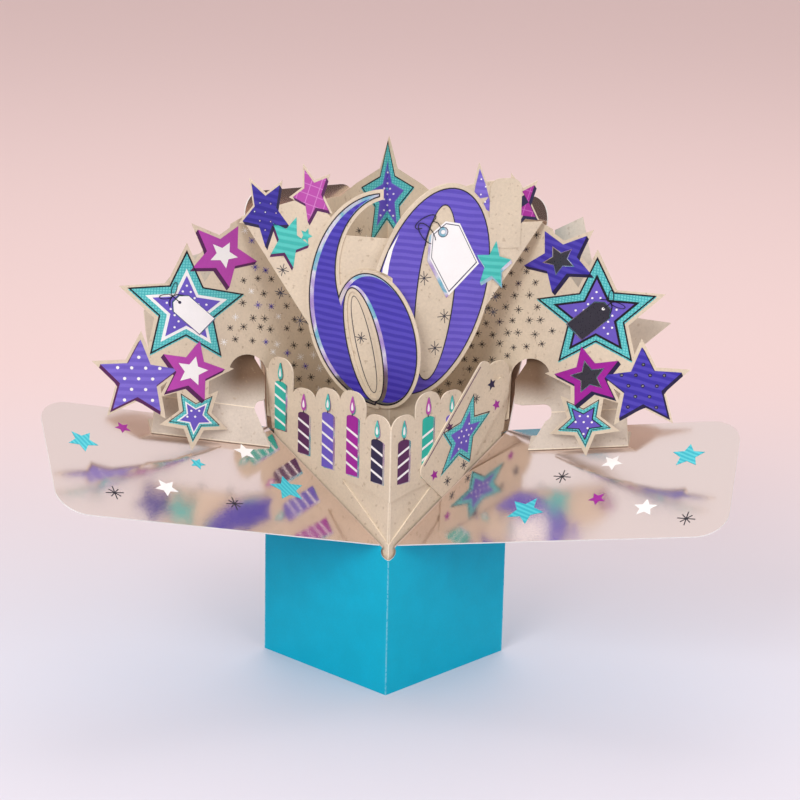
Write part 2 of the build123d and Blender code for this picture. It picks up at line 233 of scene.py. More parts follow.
# %% Group for a fine woven check
def make_fine_check():
    """Two sets of thin threads that cross each other."""
    inputs = [
        ("Ink", COLOUR, WHITE),
        ("Thread", COLOUR, WHITE),
        ("Across", VECTOR, (0, 0, 900)),
        ("Along", VECTOR, (900, 0, 0)),
        ("Thread Edge", VALUE, 0.3),
        ("Thread Middle", VALUE, 0.42),
    ]
    group, given, result = shader_group("Fine check", inputs, [("Color", COLOUR)])
    place = card_place(group)
    threads = []
    for direction in ("Across", "Along"):
        settings = {"operation": "DOT_PRODUCT"}
        count = add_node(group, "ShaderNodeVectorMath", settings, {0: place, 1: given.outputs[direction]})
        step = maths(group, "FRACT", count.outputs["Value"])
        wave = maths(group, "ABSOLUTE", maths(group, "SUBTRACT", step, 0.5))
        thread_range = (given.outputs["Thread Edge"], given.outputs["Thread Middle"])
        threads.append(smooth_range(group, wave, *thread_range))
    share = maths(group, "MAXIMUM", *threads)
    check = mix_colours(group, share, given.outputs["Ink"], given.outputs["Thread"])
    group.links.new(check, result.inputs["Color"])
    return group


FINE_CHECK = make_fine_check()
print("group:", FINE_CHECK.name)

# %% Group for the grain of printed ink
SPECK_SCALE = 1500
MOTTLE_SCALE = 110
MOTTLE_RANGE = (0.3, 0.7)
GLOSS_SPREAD = 0.2


def make_ink_grain():
    """Specks and soft mottling in an ink, with a gloss that is slightly uneven."""
    inputs = [("Ink", COLOUR, WHITE), ("Grain", VALUE, 0.08), ("Gloss", VALUE, 0.4)]
    group, given, result = shader_group("Ink grain", inputs, [("Color", COLOUR), ("Roughness", VALUE)])
    place = card_place(group)
    speck = noise(group, place, SPECK_SCALE, detail=3, roughness=0.6)
    cloud = noise(group, place, MOTTLE_SCALE)
    lighter = maths(group, "ADD", 1.0, given.outputs["Grain"])
    darker = maths(group, "SUBTRACT", 1.0, given.outputs["Grain"])
    mottle = maths(group, "MULTIPLY", maths(group, "ADD", speck, cloud), 0.5)
    tone = smooth_range(group, mottle, *MOTTLE_RANGE, darker, lighter)
    toned = mix_colours(group, 1.0, given.outputs["Ink"], tone, "MULTIPLY")
    uneven = maths(group, "MULTIPLY", maths(group, "SUBTRACT", speck, 0.5), GLOSS_SPREAD)
    group.links.new(toned, result.inputs["Color"])
    group.links.new(maths(group, "ADD", given.outputs["Gloss"], uneven), result.inputs["Roughness"])
    return group


INK_GRAIN = make_ink_grain()
print("group:", INK_GRAIN.name)

# %% Group for the worn line on a fold
WEAR_SCALE = 900
WEAR_FADE = (0.55, 1.0)
WEAR_BREAKS = (0.36, 0.5)


def make_fold_wear():
    """A thin broken line, from the distance to a fold."""
    inputs = [("Distance", VALUE, 0.0), ("Width", VALUE, 0.0004)]
    group, given, result = shader_group("Fold wear", inputs, [("Mask", VALUE)])
    place = card_place(group)
    share = maths(group, "DIVIDE", given.outputs["Distance"], given.outputs["Width"])
    line = smooth_range(group, share, *WEAR_FADE, 1.0, 0.0)
    broken = smooth_range(group, noise(group, place, WEAR_SCALE, roughness=0.7), *WEAR_BREAKS)
    group.links.new(maths(group, "MULTIPLY", line, broken), result.inputs["Mask"])
    return group


FOLD_WEAR = make_fold_wear()
print("group:", FOLD_WEAR.name)

# %% [markdown]
# ## Card and foil
# The tube is printed teal outside and faced with rose-gold mirror foil inside. Foil on card is never
# quite flat: a slow ripple in its normals smears what it reflects, and a fine tooth softens the
# highlights. The cut edges show the pale core of the board. Kraft is matt, and its cut edge is lighter
# than its face. The two stays behind the wings lie in deep shade behind the arches of the backdrop, and
# that shade is painted into their kraft there as a brown tone.


# %% Helpers for finishes
def new_finish(name, roughness=0.5, metallic=0.0, coat=0.0):
    """A material with its one shader. Gives the material, its tree and the shader."""
    material = bpy.data.materials.new(name)
    material.use_nodes = True
    tree = material.node_tree
    shader = tree.nodes["Principled BSDF"]
    shader.inputs["Roughness"].default_value = roughness
    shader.inputs["Metallic"].default_value = metallic
    shader.inputs["Coat Weight"].default_value = coat
    return material, tree, shader


def place_group(tree, group, inputs):
    """A node group placed in a material with its own values."""
    return add_node(tree, "ShaderNodeGroup", {"node_tree": group}, inputs)


def add_bump(tree, shader, height, depth, strength=1.0):
    """Fine relief from a height value. The depth is in metres."""
    inputs = {"Height": height, "Distance": depth, "Strength": strength}
    bump = add_node(tree, "ShaderNodeBump", None, inputs)
    tree.links.new(bump.outputs["Normal"], shader.inputs["Normal"])


print("finish helpers ready")

# %% Kraft and cut edges
KRAFT_ROUGHNESS = 0.78
KRAFT_TOOTH_DEPTH = 0.00006
KRAFT_TOOTH_STRENGTH = 0.6
KRAFT_FLECK = ink_colour(158, 132, 104)
# Painted shade: ARCH_SHADE is a brown tone laid into the stays' kraft where they pass behind the arches; the
# ranges below place it, in metres.
ARCH_SHADE = ink_colour(112, 88, 68)
ARCH_REACH = (0.053, 0.066)
ARCH_FOOT = (0.094, 0.106)
ARCH_HEAD = (0.118, 0.13)


def make_kraft(name, sheet, fleck, cloud, fleck_share, tone=None):
    """Uncoated kraft card. Tone, where given, changes the colour of the sheet from place to place; on the
    stays it is painted shade.
    """
    material, tree, shader = new_finish(name, roughness=KRAFT_ROUGHNESS)
    if tone:
        sheet = tone(tree, sheet)
    values = {"Sheet": sheet, "Fleck": fleck, "Cloud": cloud, "Fleck Share": fleck_share}
    fibre = place_group(tree, CARD_FIBRE, values)
    tree.links.new(fibre.outputs["Color"], shader.inputs["Base Color"])
    add_bump(tree, shader, fibre.outputs["Height"], KRAFT_TOOTH_DEPTH, KRAFT_TOOTH_STRENGTH)
    return material


def shaded_behind_arch(tree, sheet):
    """The colour of a stay with painted shade: toned brown where it passes behind an arch next to the tube.
    """
    place = add_node(tree, "ShaderNodeSeparateXYZ", None, {0: card_place(tree)})
    near_tube = smooth_range(tree, maths(tree, "ABSOLUTE", place.outputs["X"]), *ARCH_REACH, 1.0, 0.0)
    above_foot = smooth_range(tree, place.outputs["Z"], *ARCH_FOOT)
    below_head = smooth_range(tree, place.outputs["Z"], *ARCH_HEAD, 1.0, 0.0)
    toned = maths(tree, "MULTIPLY", near_tube, maths(tree, "MULTIPLY", above_foot, below_head))
    return mix_colours(tree, toned, sheet, ARCH_SHADE)


KRAFT = make_kraft("kraft", ink_colour(221, 205, 181), KRAFT_FLECK, 0.08, 0.4)
# The stays' kraft carries painted shade where they pass behind the arches.
STAY_KRAFT = make_kraft("stay_kraft", ink_colour(216, 204, 189), KRAFT_FLECK, 0.08, 0.3, shaded_behind_arch)
KRAFT_EDGE = make_kraft("kraft_cut_edge", ink_colour(238, 224, 202), ink_colour(205, 180, 148), 0.06, 0.2)
BOARD_EDGE = make_kraft("board_cut_edge", ink_colour(240, 236, 232), ink_colour(214, 208, 202), 0.05, 0.15)
print("kraft finishes:", [item.name for item in (KRAFT, STAY_KRAFT, KRAFT_EDGE, BOARD_EDGE)])

# %% Teal card and rose foil
TEAL = ink_colour(4, 174, 204)
TEAL_WORN = ink_colour(170, 226, 236)
TEAL_COAT = 0.04
TEAL_COAT_ROUGHNESS = 0.3
TEAL_SPECULAR = 0.12
WEAR_WIDTH = 0.00035
WEAR_SHARE = 0.4
ROSE = ink_colour(243, 229, 225)
RIPPLE_SCALE = 20
RIPPLE_DEPTH = 0.0005
TOOTH_SCALE = 1800
TOOTH_SHARE = 0.012
TOOTH_RANGE = (0.2, 0.8)
FOIL_ROUGHNESS = (0.08, 0.15)


def make_teal_card():
    """Coated teal card with a faint and broken pale line on the tube's folds."""
    material, tree, shader = new_finish("teal_card", coat=TEAL_COAT)
    shader.inputs["Coat Roughness"].default_value = TEAL_COAT_ROUGHNESS
    shader.inputs["Specular IOR Level"].default_value = TEAL_SPECULAR
    place = add_node(tree, "ShaderNodeSeparateXYZ", None, {0: card_place(tree)})
    from_sides = maths(tree, "ABSOLUTE", place.outputs["Y"])
    from_front = maths(tree, "ABSOLUTE", place.outputs["X"])
    distance = maths(tree, "MINIMUM", from_sides, from_front)
    wear = place_group(tree, FOLD_WEAR, {"Distance": distance, "Width": WEAR_WIDTH})
    grain = place_group(tree, INK_GRAIN, {"Ink": TEAL, "Grain": 0.05, "Gloss": 0.38})
    faint = maths(tree, "MULTIPLY", wear.outputs["Mask"], WEAR_SHARE)
    worn = mix_colours(tree, faint, grain.outputs["Color"], TEAL_WORN)
    tree.links.new(worn, shader.inputs["Base Color"])
    tree.links.new(grain.outputs["Roughness"], shader.inputs["Roughness"])
    return material


def make_rose_foil():
    """Rose-gold mirror foil on card, with a slow ripple and a fine tooth."""
    material, tree, shader = new_finish("rose_foil", metallic=1.0)
    shader.inputs["Base Color"].default_value = ROSE
    place = card_place(tree)
    ripple = noise(tree, place, RIPPLE_SCALE)
    tooth = noise(tree, place, TOOTH_SCALE)
    roughness = smooth_range(tree, tooth, *TOOTH_RANGE, *FOIL_ROUGHNESS)
    tree.links.new(roughness, shader.inputs["Roughness"])
    relief = maths(tree, "ADD", ripple, maths(tree, "MULTIPLY", tooth, TOOTH_SHARE))
    add_bump(tree, shader, relief, RIPPLE_DEPTH)
    return material


TEAL_CARD = make_teal_card()
ROSE_FOIL = make_rose_foil()
print("tube finishes:", TEAL_CARD.name, ROSE_FOIL.name)

# %% [markdown]
# ## Which face of a sheet is which
# A sheet of card is a thin plate: two wide faces and a narrow cut edge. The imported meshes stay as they
# are, so each polygon only gets the number of a finish. Polygons that lie in one plane are added up, and
# a plane with a large area is a wide face. On the tube, the face that looks away from the middle is teal
# and the other is foil; on the flaps, foil looks up.

# %% Measures of the card in mm
SIDE_HEIGHT = 85.5
FRONT_HEIGHT = 53.0
WALL_WIDTH = 62.0
BOARD = 0.5
STACK = 0.6
OUTLINE_TILT = math.radians(15.5)
HALF_DIAGONAL = WALL_WIDTH / math.sqrt(2)
CREASE_RISE = SIDE_HEIGHT - FRONT_HEIGHT
TOWARDS_EYE = Vector((0, -math.cos(OUTLINE_TILT), math.sin(OUTLINE_TILT)))
OUTLINE_UP = Vector((0, math.sin(OUTLINE_TILT), math.cos(OUTLINE_TILT)))
print("half diagonal of the tube in mm:", round(HALF_DIAGONAL, 2))

# %% Helpers for faces
SAME_DIRECTION = 0.99995
SAME_PLANE = 0.02


def wide_polygons(mesh, least_area):
    """The numbers of the polygons in planes with at least that area in square metres."""
    planes = []
    for polygon in mesh.polygons:
        normal = polygon.normal
        offset = normal.dot(polygon.center)
        for plane in planes:
            alike = plane["normal"].dot(normal) > SAME_DIRECTION
            if alike and abs(plane["offset"] - offset) < SAME_PLANE * MM:
                break
        else:
            plane = {"normal": normal.copy(), "offset": offset, "area": 0.0, "members": []}
            planes.append(plane)
        plane["area"] += polygon.area
        plane["members"].append(polygon.index)
    return {index for plane in planes if plane["area"] > least_area for index in plane["members"]}


def set_finishes(node, finishes, choose):
    """Gives a node its finishes and each polygon the number that choose returns."""
    mesh = nodes[node].data
    mesh.materials.clear()
    for finish in finishes:
        mesh.materials.append(finish)
    for polygon in mesh.polygons:
        polygon.material_index = choose(polygon)
    print(node, "finishes:", [finish.name for finish in finishes])


print("face helpers ready")

# %% Finishes on the sleeve
SLEEVE_FACE_AREA = 0.001
CREASE_NEAR = 1.0
FLAP_LEVEL = 0.5


def on_crease(centre):
    """Whether a point lies on the slanted crease of a tube wall."""
    crease = FRONT_HEIGHT + CREASE_RISE * abs(centre.x) / (HALF_DIAGONAL * MM)
    near_crease = abs(centre.z / MM - crease) < CREASE_NEAR
    near_wall = abs(abs(centre.x) + abs(centre.y) - HALF_DIAGONAL * MM) < CREASE_NEAR * MM
    return near_crease and near_wall


SLEEVE_FACES = wide_polygons(nodes["sleeve"].data, SLEEVE_FACE_AREA)


def sleeve_finish(polygon):
    """0 is teal, 1 is foil and 2 is the cut edge."""
    normal = polygon.normal
    centre = polygon.center
    if polygon.index in SLEEVE_FACES:
        if abs(normal.z) > FLAP_LEVEL:
            return 1 if normal.z > 0 else 0
        return 0 if normal.x * centre.x + normal.y * centre.y > 0 else 1
    if on_crease(centre):
        return 1 if normal.z > 0 else 0
    return 2


set_finishes("sleeve", [TEAL_CARD, ROSE_FOIL, BOARD_EDGE], sleeve_finish)
print("polygons in wide faces of the sleeve:", len(SLEEVE_FACES))

# %% Finishes on the kraft sheets
SHEET_FACE_AREA = 0.0001
CUT_EDGE_LEAN = 0.08


def backdrop_finish(polygon):
    """0 is the sheet and 1 its cut edge, which runs along the direction of the cut."""
    return 0 if abs(polygon.normal.dot(TOWARDS_EYE)) > CUT_EDGE_LEAN else 1


set_finishes("star_backdrop", [KRAFT, KRAFT_EDGE], backdrop_finish)


def card_finish(polygon):
    """0 is a wide face of the sheet at hand and 1 its cut edge."""
    return 0 if polygon.index in wide else 1


for node in ("number_fan", "numeral_six", "banner", "tag"):
    wide = wide_polygons(nodes[node].data, SHEET_FACE_AREA)
    set_finishes(node, [KRAFT, KRAFT_EDGE], card_finish)


def stay_finish(polygon):
    """0 is the face seen through the arch, which carries painted shade, 1 the cut edge and 2 the back."""
    if polygon.index not in wide:
        return 1
    return 0 if polygon.normal.y < 0 else 2


for node in ("left_wing_stay", "right_wing_stay"):
    wide = wide_polygons(nodes[node].data, SHEET_FACE_AREA)
    set_finishes(node, [STAY_KRAFT, KRAFT_EDGE, KRAFT], stay_finish)

# %% [markdown]
# ## Inks
# The inks are few: some purples, aqua, teal and jade, mauve and magenta, plum and navy for the shaded
# sides, charcoal, black, white, and a silver foil. Stripes run across the sheet they are printed on, so
# each striped ink is given a direction with its pitch. The silver foil is slightly iridescent, which a
# slow noise through a colour ramp gives.

# %% Helpers for inks
INK_GLOSS = 0.42
INK_GRAIN_SHARE = 0.07
STRIPED_GLOSS = 0.4
PATTERN_GRAIN = 0.05


def lay_ink(tree, shader, ink, grain, gloss):
    """Feeds a shader with an ink and its grain."""
    inked = place_group(tree, INK_GRAIN, {"Ink": ink, "Grain": grain, "Gloss": gloss})
    tree.links.new(inked.outputs["Color"], shader.inputs["Base Color"])
    tree.links.new(inked.outputs["Roughness"], shader.inputs["Roughness"])


def make_ink(name, colour, gloss=INK_GLOSS, grain=INK_GRAIN_SHARE):
    """A plain printed ink."""
    material, tree, shader = new_finish(name)
    lay_ink(tree, shader, ink_colour(*colour), grain, gloss)
    return material


def make_striped_ink(name, colour, stripe, across):
    """An ink with soft stripes."""
    material, tree, shader = new_finish(name)
    values = {"Ink": ink_colour(*colour), "Stripe": ink_colour(*stripe), "Across": across}
    stripes = place_group(tree, INK_STRIPES, values)
    lay_ink(tree, shader, stripes.outputs["Color"], PATTERN_GRAIN, STRIPED_GLOSS)
    return material


def make_check_ink(name, colour, thread, across, along, edge, middle):
    """An ink with a fine woven check. Edge and middle, up to 0.5, set how thin its threads are."""
    material, tree, shader = new_finish(name)
    values = {"Ink": ink_colour(*colour), "Thread": ink_colour(*thread), "Across": across, "Along": along}
    values.update({"Thread Edge": edge, "Thread Middle": middle})
    check = place_group(tree, FINE_CHECK, values)
    lay_ink(tree, shader, check.outputs["Color"], PATTERN_GRAIN, INK_GLOSS)
    return material


print("ink helpers ready")

# %% Silver foil
SILVER_SCALE = 85
SILVER_ROUGHNESS = 0.22
SILVER_TINTS = [
    (0.3, (205, 205, 214)),
    (0.42, (120, 190, 205)),
    (0.5, (225, 225, 230)),
    (0.6, (176, 150, 205)),
    (0.72, (214, 205, 200)),
]


def make_silver_foil():
    """Silver foil with a faint rainbow."""
    material, tree, shader = new_finish("silver_foil", roughness=SILVER_ROUGHNESS, metallic=1.0)
    shade = noise(tree, card_place(tree), SILVER_SCALE)
    ramp = add_node(tree, "ShaderNodeValToRGB", None, {0: shade})
    while len(ramp.color_ramp.elements) < len(SILVER_TINTS):
        ramp.color_ramp.elements.new(0.5)
    for element, (position, tint) in zip(ramp.color_ramp.elements, SILVER_TINTS):
        element.position = position
        element.color = ink_colour(*tint)
    tree.links.new(ramp.outputs["Color"], shader.inputs["Base Color"])
    return material


SILVER_FOIL = make_silver_foil()
print("foil of the print:", SILVER_FOIL.name)


# %% Inks of the card
def stripes_per_metre(direction, pitch):
    """A direction made as long as the number of stripes in a metre along it. The pitch is in mm."""
    return tuple(Vector(direction).normalized() / (pitch * MM))


UPWARDS = stripes_per_metre((0.14, 0, 1), 2.5)
LEVELWARDS = stripes_per_metre((1, 1, 0.1), 1.5)
CHECK = (stripes_per_metre((0.1, 0.1, 1), 0.95), stripes_per_metre((1, 0, -0.1), 0.95), 0.3, 0.42)
GRID = (stripes_per_metre((0.3, 0, 1), 3.4), stripes_per_metre((1, 0, -0.3), 3.4), 0.44, 0.48)
STRIPED_INKS = {
    "blue_purple": ((58, 46, 160), (78, 66, 178), UPWARDS),
    "deep_purple": ((44, 34, 138), (60, 50, 156), UPWARDS),
    "lilac_purple": ((108, 90, 190), (124, 106, 202), UPWARDS),
    "zero_purple": ((88, 72, 180), (106, 90, 194), UPWARDS),
    "aqua_stripe": ((58, 180, 170), (84, 198, 188), UPWARDS),
    "flap_teal": ((42, 180, 198), (84, 204, 214), LEVELWARDS),
}
CHECKED_INKS = {
    "aqua_check": ((112, 206, 204), (62, 172, 178), *CHECK),
    "mauve_grid": ((180, 74, 164), (206, 130, 196), *GRID),
    "magenta_grid": ((158, 38, 142), (190, 96, 178), *GRID),
}
PLAIN_INKS = {
    "violet": ((106, 88, 190),),
    "mauve": ((180, 68, 168),),
    "magenta": ((158, 28, 150),),
    "plum": ((84, 32, 84),),
    "navy": ((34, 27, 66), 0.35),
    "charcoal": ((52, 50, 60), 0.3),
    "black_line": ((30, 27, 38), 0.3),
    "jade": ((34, 178, 160),),
    "white": ((246, 244, 242), 0.5, 0.02),
}
INKS = {"kraft": KRAFT, "silver": SILVER_FOIL}
for maker, recipes in (
    (make_striped_ink, STRIPED_INKS),
    (make_check_ink, CHECKED_INKS),
    (make_ink, PLAIN_INKS),
):
    for name, recipe in recipes.items():
        INKS[name] = maker(name, *recipe)
print("inks:", sorted(INKS))

# %% [markdown]
# ## How a print is laid
# A print could be painted with textures, but sharp stars and hairlines would then need a very fine
# picture. Here each inked region is a film of its own, a few hundredths of a millimetre above its sheet
# or above the film under it, so edges stay sharp from any distance. Regions are drawn flat in the sheet's
# own millimetres, filled with a constrained triangulation, and then placed on the sheet. On the bent star
# sheet every corner is dropped onto the card along the direction of the die cut.


# %% Sheets that carry print
class FlatSheet:
    """The printed face of a flat sheet: its origin, the axes of its print and the way it faces."""

    def __init__(self, origin, along, up, front):
        self.origin = Vector(origin)
        self.along = Vector(along).normalized()
        self.up = Vector(up).normalized()
        self.front = Vector(front).normalized()

    def place(self, across, rise, lift):
        """A point of the print, in metres."""
        flat = self.origin + self.along * across + self.up * rise
        return (flat + self.front * (BOARD / 2 + lift)) * MM


class BentSheet:
    """The printed face of the star backdrop, drawn on the tilted plane of its die cut."""

    front = TOWARDS_EYE
    far = 400.0
    draw_in = 0.25

    def __init__(self, node):
        mesh = nodes[node].data
        self.tree = BVHTree.FromPolygons([v.co for v in mesh.vertices], [p.vertices for p in mesh.polygons])

    def place(self, across, rise, lift):
        """A point of the print, in metres, dropped onto the card along the die cut. A point just off the
        cut is drawn in towards the fold."""
        reach = abs(across)
        spot = None
        while spot is None and reach >= 0:
            flat = Vector((math.copysign(reach, across), 0, SIDE_HEIGHT)) + OUTLINE_UP * rise
            spot, normal, _, _ = self.tree.ray_cast((flat + TOWARDS_EYE * self.far) * MM, -TOWARDS_EYE)
            reach -= self.draw_in
        if spot is None:
            spot, normal, _, _ = self.tree.find_nearest(flat * MM)
        return spot + normal * (lift * MM)


print("kinds of sheet:", FlatSheet.__name__, BentSheet.__name__)

# %% Filling a region
WELD = 0.00001


def inside_loop(loop, point):
    """Whether a point is inside a closed loop of points."""
    inside = False
    previous = loop[-1]
    for corner in loop:
        if (corner[1] > point[1]) != (previous[1] > point[1]):
            share = (point[1] - corner[1]) / (previous[1] - corner[1])
            if point[0] < corner[0] + share * (previous[0] - corner[0]):
                inside = not inside
        previous = corner
    return inside


def fill(loops, seams, inside):
    """The points and triangles between loops. Seams are lines along which triangles have to end."""
    points = []
    edges = []
    for loop in loops:
        first = len(points)
        points.extend(Vector(corner) for corner in loop)
        edges.extend((first + step, first + (step + 1) % len(loop)) for step in range(len(loop)))
    for start, end in seams:
        edges.append((len(points), len(points) + 1))
        points.extend((Vector(start), Vector(end)))
    corners, _, triangles, _, _, _ = delaunay_2d_cdt(points, edges, [], 0, WELD)
    kept = []
    for triangle in triangles:
        middle = sum((corners[index] for index in triangle), Vector((0, 0))) / 3
        if inside is None:
            chosen = sum(inside_loop(loop, middle) for loop in loops) % 2 == 1
        else:
            chosen = inside(middle)
        if chosen:
            kept.append(triangle)
    return corners, kept


print("loops are welded within mm:", WELD)

# %% Films of ink
FILM_LIFT = 0.06
FILM_STEP = 0.05
FILM_THICKNESS = 0.04
MOST_SPLITS = 6


class Print:
    """The ink films on one sheet, laid level by level."""

    def __init__(self, sheet, finest=None, thickness=FILM_THICKNESS):
        self.sheet = sheet
        self.finest = finest
        self.thickness = thickness
        self.films = bmesh.new()
        self.inks = []

    def lay(self, loops, ink, level=0, seams=(), inside=None):
        """Lays one region: the area inside an odd number of loops, or what the inside test keeps."""
        if ink not in self.inks:
            self.inks.append(ink)
        corners, triangles = fill(loops, seams, inside)
        flat = bmesh.new()
        spots = {}
        for triangle in triangles:
            for index in triangle:
                if index not in spots:
                    spots[index] = flat.verts.new((*corners[index], 0))
            flat.faces.new([spots[index] for index in triangle])
        if self.finest:
            self.split_long_edges(flat)
        lift = FILM_LIFT + FILM_STEP * level
        laid = {}
        for spot in flat.verts:
            laid[spot] = self.films.verts.new(self.sheet.place(spot.co.x, spot.co.y, lift))
        for face in flat.faces:
            film = self.films.faces.new([laid[spot] for spot in face.verts])
            film.material_index = self.inks.index(ink)
            film.normal_update()
            if film.normal.dot(self.sheet.front) < 0:
                film.normal_flip()
        flat.free()

    def split_long_edges(self, flat):
        """Splits triangles until no edge is longer than the sheet's bend allows."""
        for _ in range(MOST_SPLITS):
            long_edges = [edge for edge in flat.edges if edge.calc_length() > self.finest]
            if not long_edges:
                break
            bmesh.ops.subdivide_edges(flat, edges=long_edges, cuts=1)
            bmesh.ops.triangulate(flat, faces=flat.faces)

    def finish(self, name, slot):
        """Makes the films one piece that rides on the card."""
        mesh = bpy.data.meshes.new(name)
        self.films.to_mesh(mesh)
        self.films.free()
        for ink in self.inks:
            mesh.materials.append(INKS[ink])
        piece = bpy.data.objects.new(name, mesh)
        bpy.context.scene.collection.objects.link(piece)
        film = piece.modifiers.new("ink film", "SOLIDIFY")
        film.thickness = self.thickness * MM
        film.offset = -1
        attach(piece, "root")
        print(name, "triangles:", len(mesh.polygons), "inks:", self.inks)
        return piece


print("film lift in mm:", FILM_LIFT, "step:", FILM_STEP)

# %% [markdown]
# ## Shapes that the print repeats
# Five-pointed stars, dots, little eight-armed sparkles and long ovals make up nearly all of the print.
# Each is a function that returns a loop of points around its own centre, so that it can be placed, made
# smaller for an inner band or shifted for a shaded side.

# %% Loops for stars, ovals and dots
STAR_WAIST = 0.47
OVAL_CORNERS = 72
DOT_CORNERS = 14


def shifted(loop, across, rise):
    """A loop moved by so much."""
    return [(corner[0] + across, corner[1] + rise) for corner in loop]


def resized(loop, centre, share):
    """A loop made smaller or larger about a centre."""
    return [(centre[0] + (x - centre[0]) * share, centre[1] + (y - centre[1]) * share) for x, y in loop]


def star(centre, radius, turn=0.0, slim=1.0):
    """A five-pointed star, turned anticlockwise from one tip up."""
    loop = []
    for step in range(10):
        reach = radius if step % 2 == 0 else radius * STAR_WAIST
        angle = math.radians(90 + turn + 36 * step)
        loop.append((centre[0] + slim * reach * math.cos(angle), centre[1] + reach * math.sin(angle)))
    return loop


def oval(centre, half, lean=0.0, corners=OVAL_CORNERS):
    """An ellipse with its half sizes, turned anticlockwise by lean degrees."""
    loop = []
    turn = math.radians(lean)
    for step in range(corners):
        angle = 2 * math.pi * step / corners
        across = half[0] * math.cos(angle)
        rise = half[1] * math.sin(angle)
        loop.append(
            (
                centre[0] + across * math.cos(turn) - rise * math.sin(turn),
                centre[1] + across * math.sin(turn) + rise * math.cos(turn),
            )
        )
    return loop


def in_oval(point, centre, half, lean=0.0):
    """Whether a point is inside an ellipse."""
    turn = math.radians(lean)
    across = point[0] - centre[0]
    rise = point[1] - centre[1]
    along = across * math.cos(turn) + rise * math.sin(turn)
    up = rise * math.cos(turn) - across * math.sin(turn)
    return (along / half[0]) ** 2 + (up / half[1]) ** 2 < 1


def dot(centre, radius):
    """A small round dot."""
    return oval(centre, (radius, radius), corners=DOT_CORNERS)


print("loops: star, oval, dot")

# %% Sparkles and rows of dots
SPARKLE_ARMS = 8
SHORT_ARM = 0.78
DOT_ROW_STEP = 0.8


def sparkle(centre, radius, stroke, turn=0.0):
    """A hand-drawn sparkle: straight strokes through one middle."""
    loop = []
    half_step = math.pi / SPARKLE_ARMS
    valley = stroke / 2 / math.sin(half_step)
    for step in range(SPARKLE_ARMS):
        angle = math.radians(turn) + 2 * half_step * step
        reach = radius if step % 2 == 0 else radius * SHORT_ARM
        outwards = Vector((math.cos(angle), math.sin(angle)))
        aside = Vector((-outwards.y, outwards.x)) * (stroke / 2)
        for corner in (outwards * reach - aside, outwards * reach + aside):
            loop.append((centre[0] + corner.x, centre[1] + corner.y))
        between = angle + half_step
        loop.append((centre[0] + valley * math.cos(between), centre[1] + valley * math.sin(between)))
    return loop


def dots_inside(loop, centre, pitch, clear):
    """Staggered places for dots that stay clear of a star's border."""
    places = []
    shrunk = resized(loop, centre, clear)
    reach = max(abs(x - centre[0]) + abs(y - centre[1]) for x, y in loop)
    rows = int(reach / pitch) + 1
    for row in range(-rows, rows + 1):
        for column in range(-rows, rows + 1):
            across = centre[0] + (column + 0.5 * (row % 2)) * pitch
            rise = centre[1] + row * pitch * DOT_ROW_STEP
            if inside_loop(shrunk, (across, rise)):
                places.append((across, rise))
    return places


print("arms of a sparkle:", SPARKLE_ARMS)

# %% Drawn lines
CURL_STEPS = 18


def drawn_line(points, width):
    """A loop along a drawn line: out on one side and back on the other."""
    sides = ([], [])
    for index, point in enumerate(points):
        before = Vector(points[max(index - 1, 0)])
        after = Vector(points[min(index + 1, len(points) - 1)])
        run = (after - before).normalized()
        aside = Vector((-run.y, run.x)) * (width / 2)
        sides[0].append(tuple(Vector(point) + aside))
        sides[1].append(tuple(Vector(point) - aside))
    return sides[0] + sides[1][::-1]


def curl(centre, half, start, sweep, lean):
    """Points along part of a leaning oval, from a start and over a sweep in degrees."""
    loop = oval(centre, half, lean, 360)
    return [loop[int(start + sweep * step / CURL_STEPS) % 360] for step in range(CURL_STEPS + 1)]


def heading_from(point, heading, distance):
    """The point at a distance from another in a heading, in degrees anticlockwise from level."""
    angle = math.radians(heading)
    return (point[0] + distance * math.cos(angle), point[1] + distance * math.sin(angle))


print("steps of a curl:", CURL_STEPS)

# %% [markdown]
# ## Stars on the backdrop
# Each wing of the backdrop is a cluster of five stars, cut with a narrow kraft margin. A printed star is
# a stack of films: a dark copy shifted to one side makes it look thick, the ink lies on it, and a band,
# dots or a smaller star come last. The right wing repeats the left in darker inks. A small blank tag on a
# string hangs over the largest star of each wing.

# %% Stars with a shaded side
CUT_MARGIN = 3.0
WING_STARS = {
    "upper": (15.7, 61.0, 14.6, 47.0),
    "great": (27.7, 40.9, 23.2, 0.0),
    "outer": (43.2, 16.6, 16.4, -2.6),
    "middle": (25.6, 19.6, 14.0, -13.0),
    "lower": (24.5, 3.7, 12.0, 32.0),
}
SHADE_ASIDE = 0.9
SHADE_DROP = 1.2
BORDER_SHARE = 1.14


def wing_star(name, side):
    """Centre, printed radius and turn of a star. Side is -1 for the left wing and 1 for the right."""
    reach, rise, radius, turn = WING_STARS[name]
    return (side * (HALF_DIAGONAL + reach), rise), radius - CUT_MARGIN, -side * turn


def shaded_star(sheet, centre, radius, turn, ink, shade, slim=1.0, aside=SHADE_ASIDE, keep=None, level=0):
    """A star with a darker side that makes it look thick. Keep, where given, says which points stay."""
    loop = star(centre, radius, turn, slim)
    moved = shifted(loop, aside, -SHADE_DROP)
    parts = [moved]
    for step in range(len(loop)):
        following = (step + 1) % len(loop)
        parts.append([loop[step], loop[following], moved[following], moved[step]])

    def in_shade(point):
        return any(inside_loop(part, point) for part in parts) and (keep is None or keep(point))

    def in_star(point):
        return inside_loop(loop, point) and (keep is None or keep(point))

    sheet.lay(parts, shade, level, inside=in_shade)
    sheet.lay([loop], ink, level + 1, inside=in_star)
    return loop


def inner_star(sheet, centre, radius, turn, ink, border=None):
    """A small star in the middle of another, with a thin border where one is given."""
    if border:
        sheet.lay([star(centre, radius * BORDER_SHARE, turn)], border, 2)
    sheet.lay([star(centre, radius, turn)], ink, 3)


print("stars of a wing:", sorted(WING_STARS))

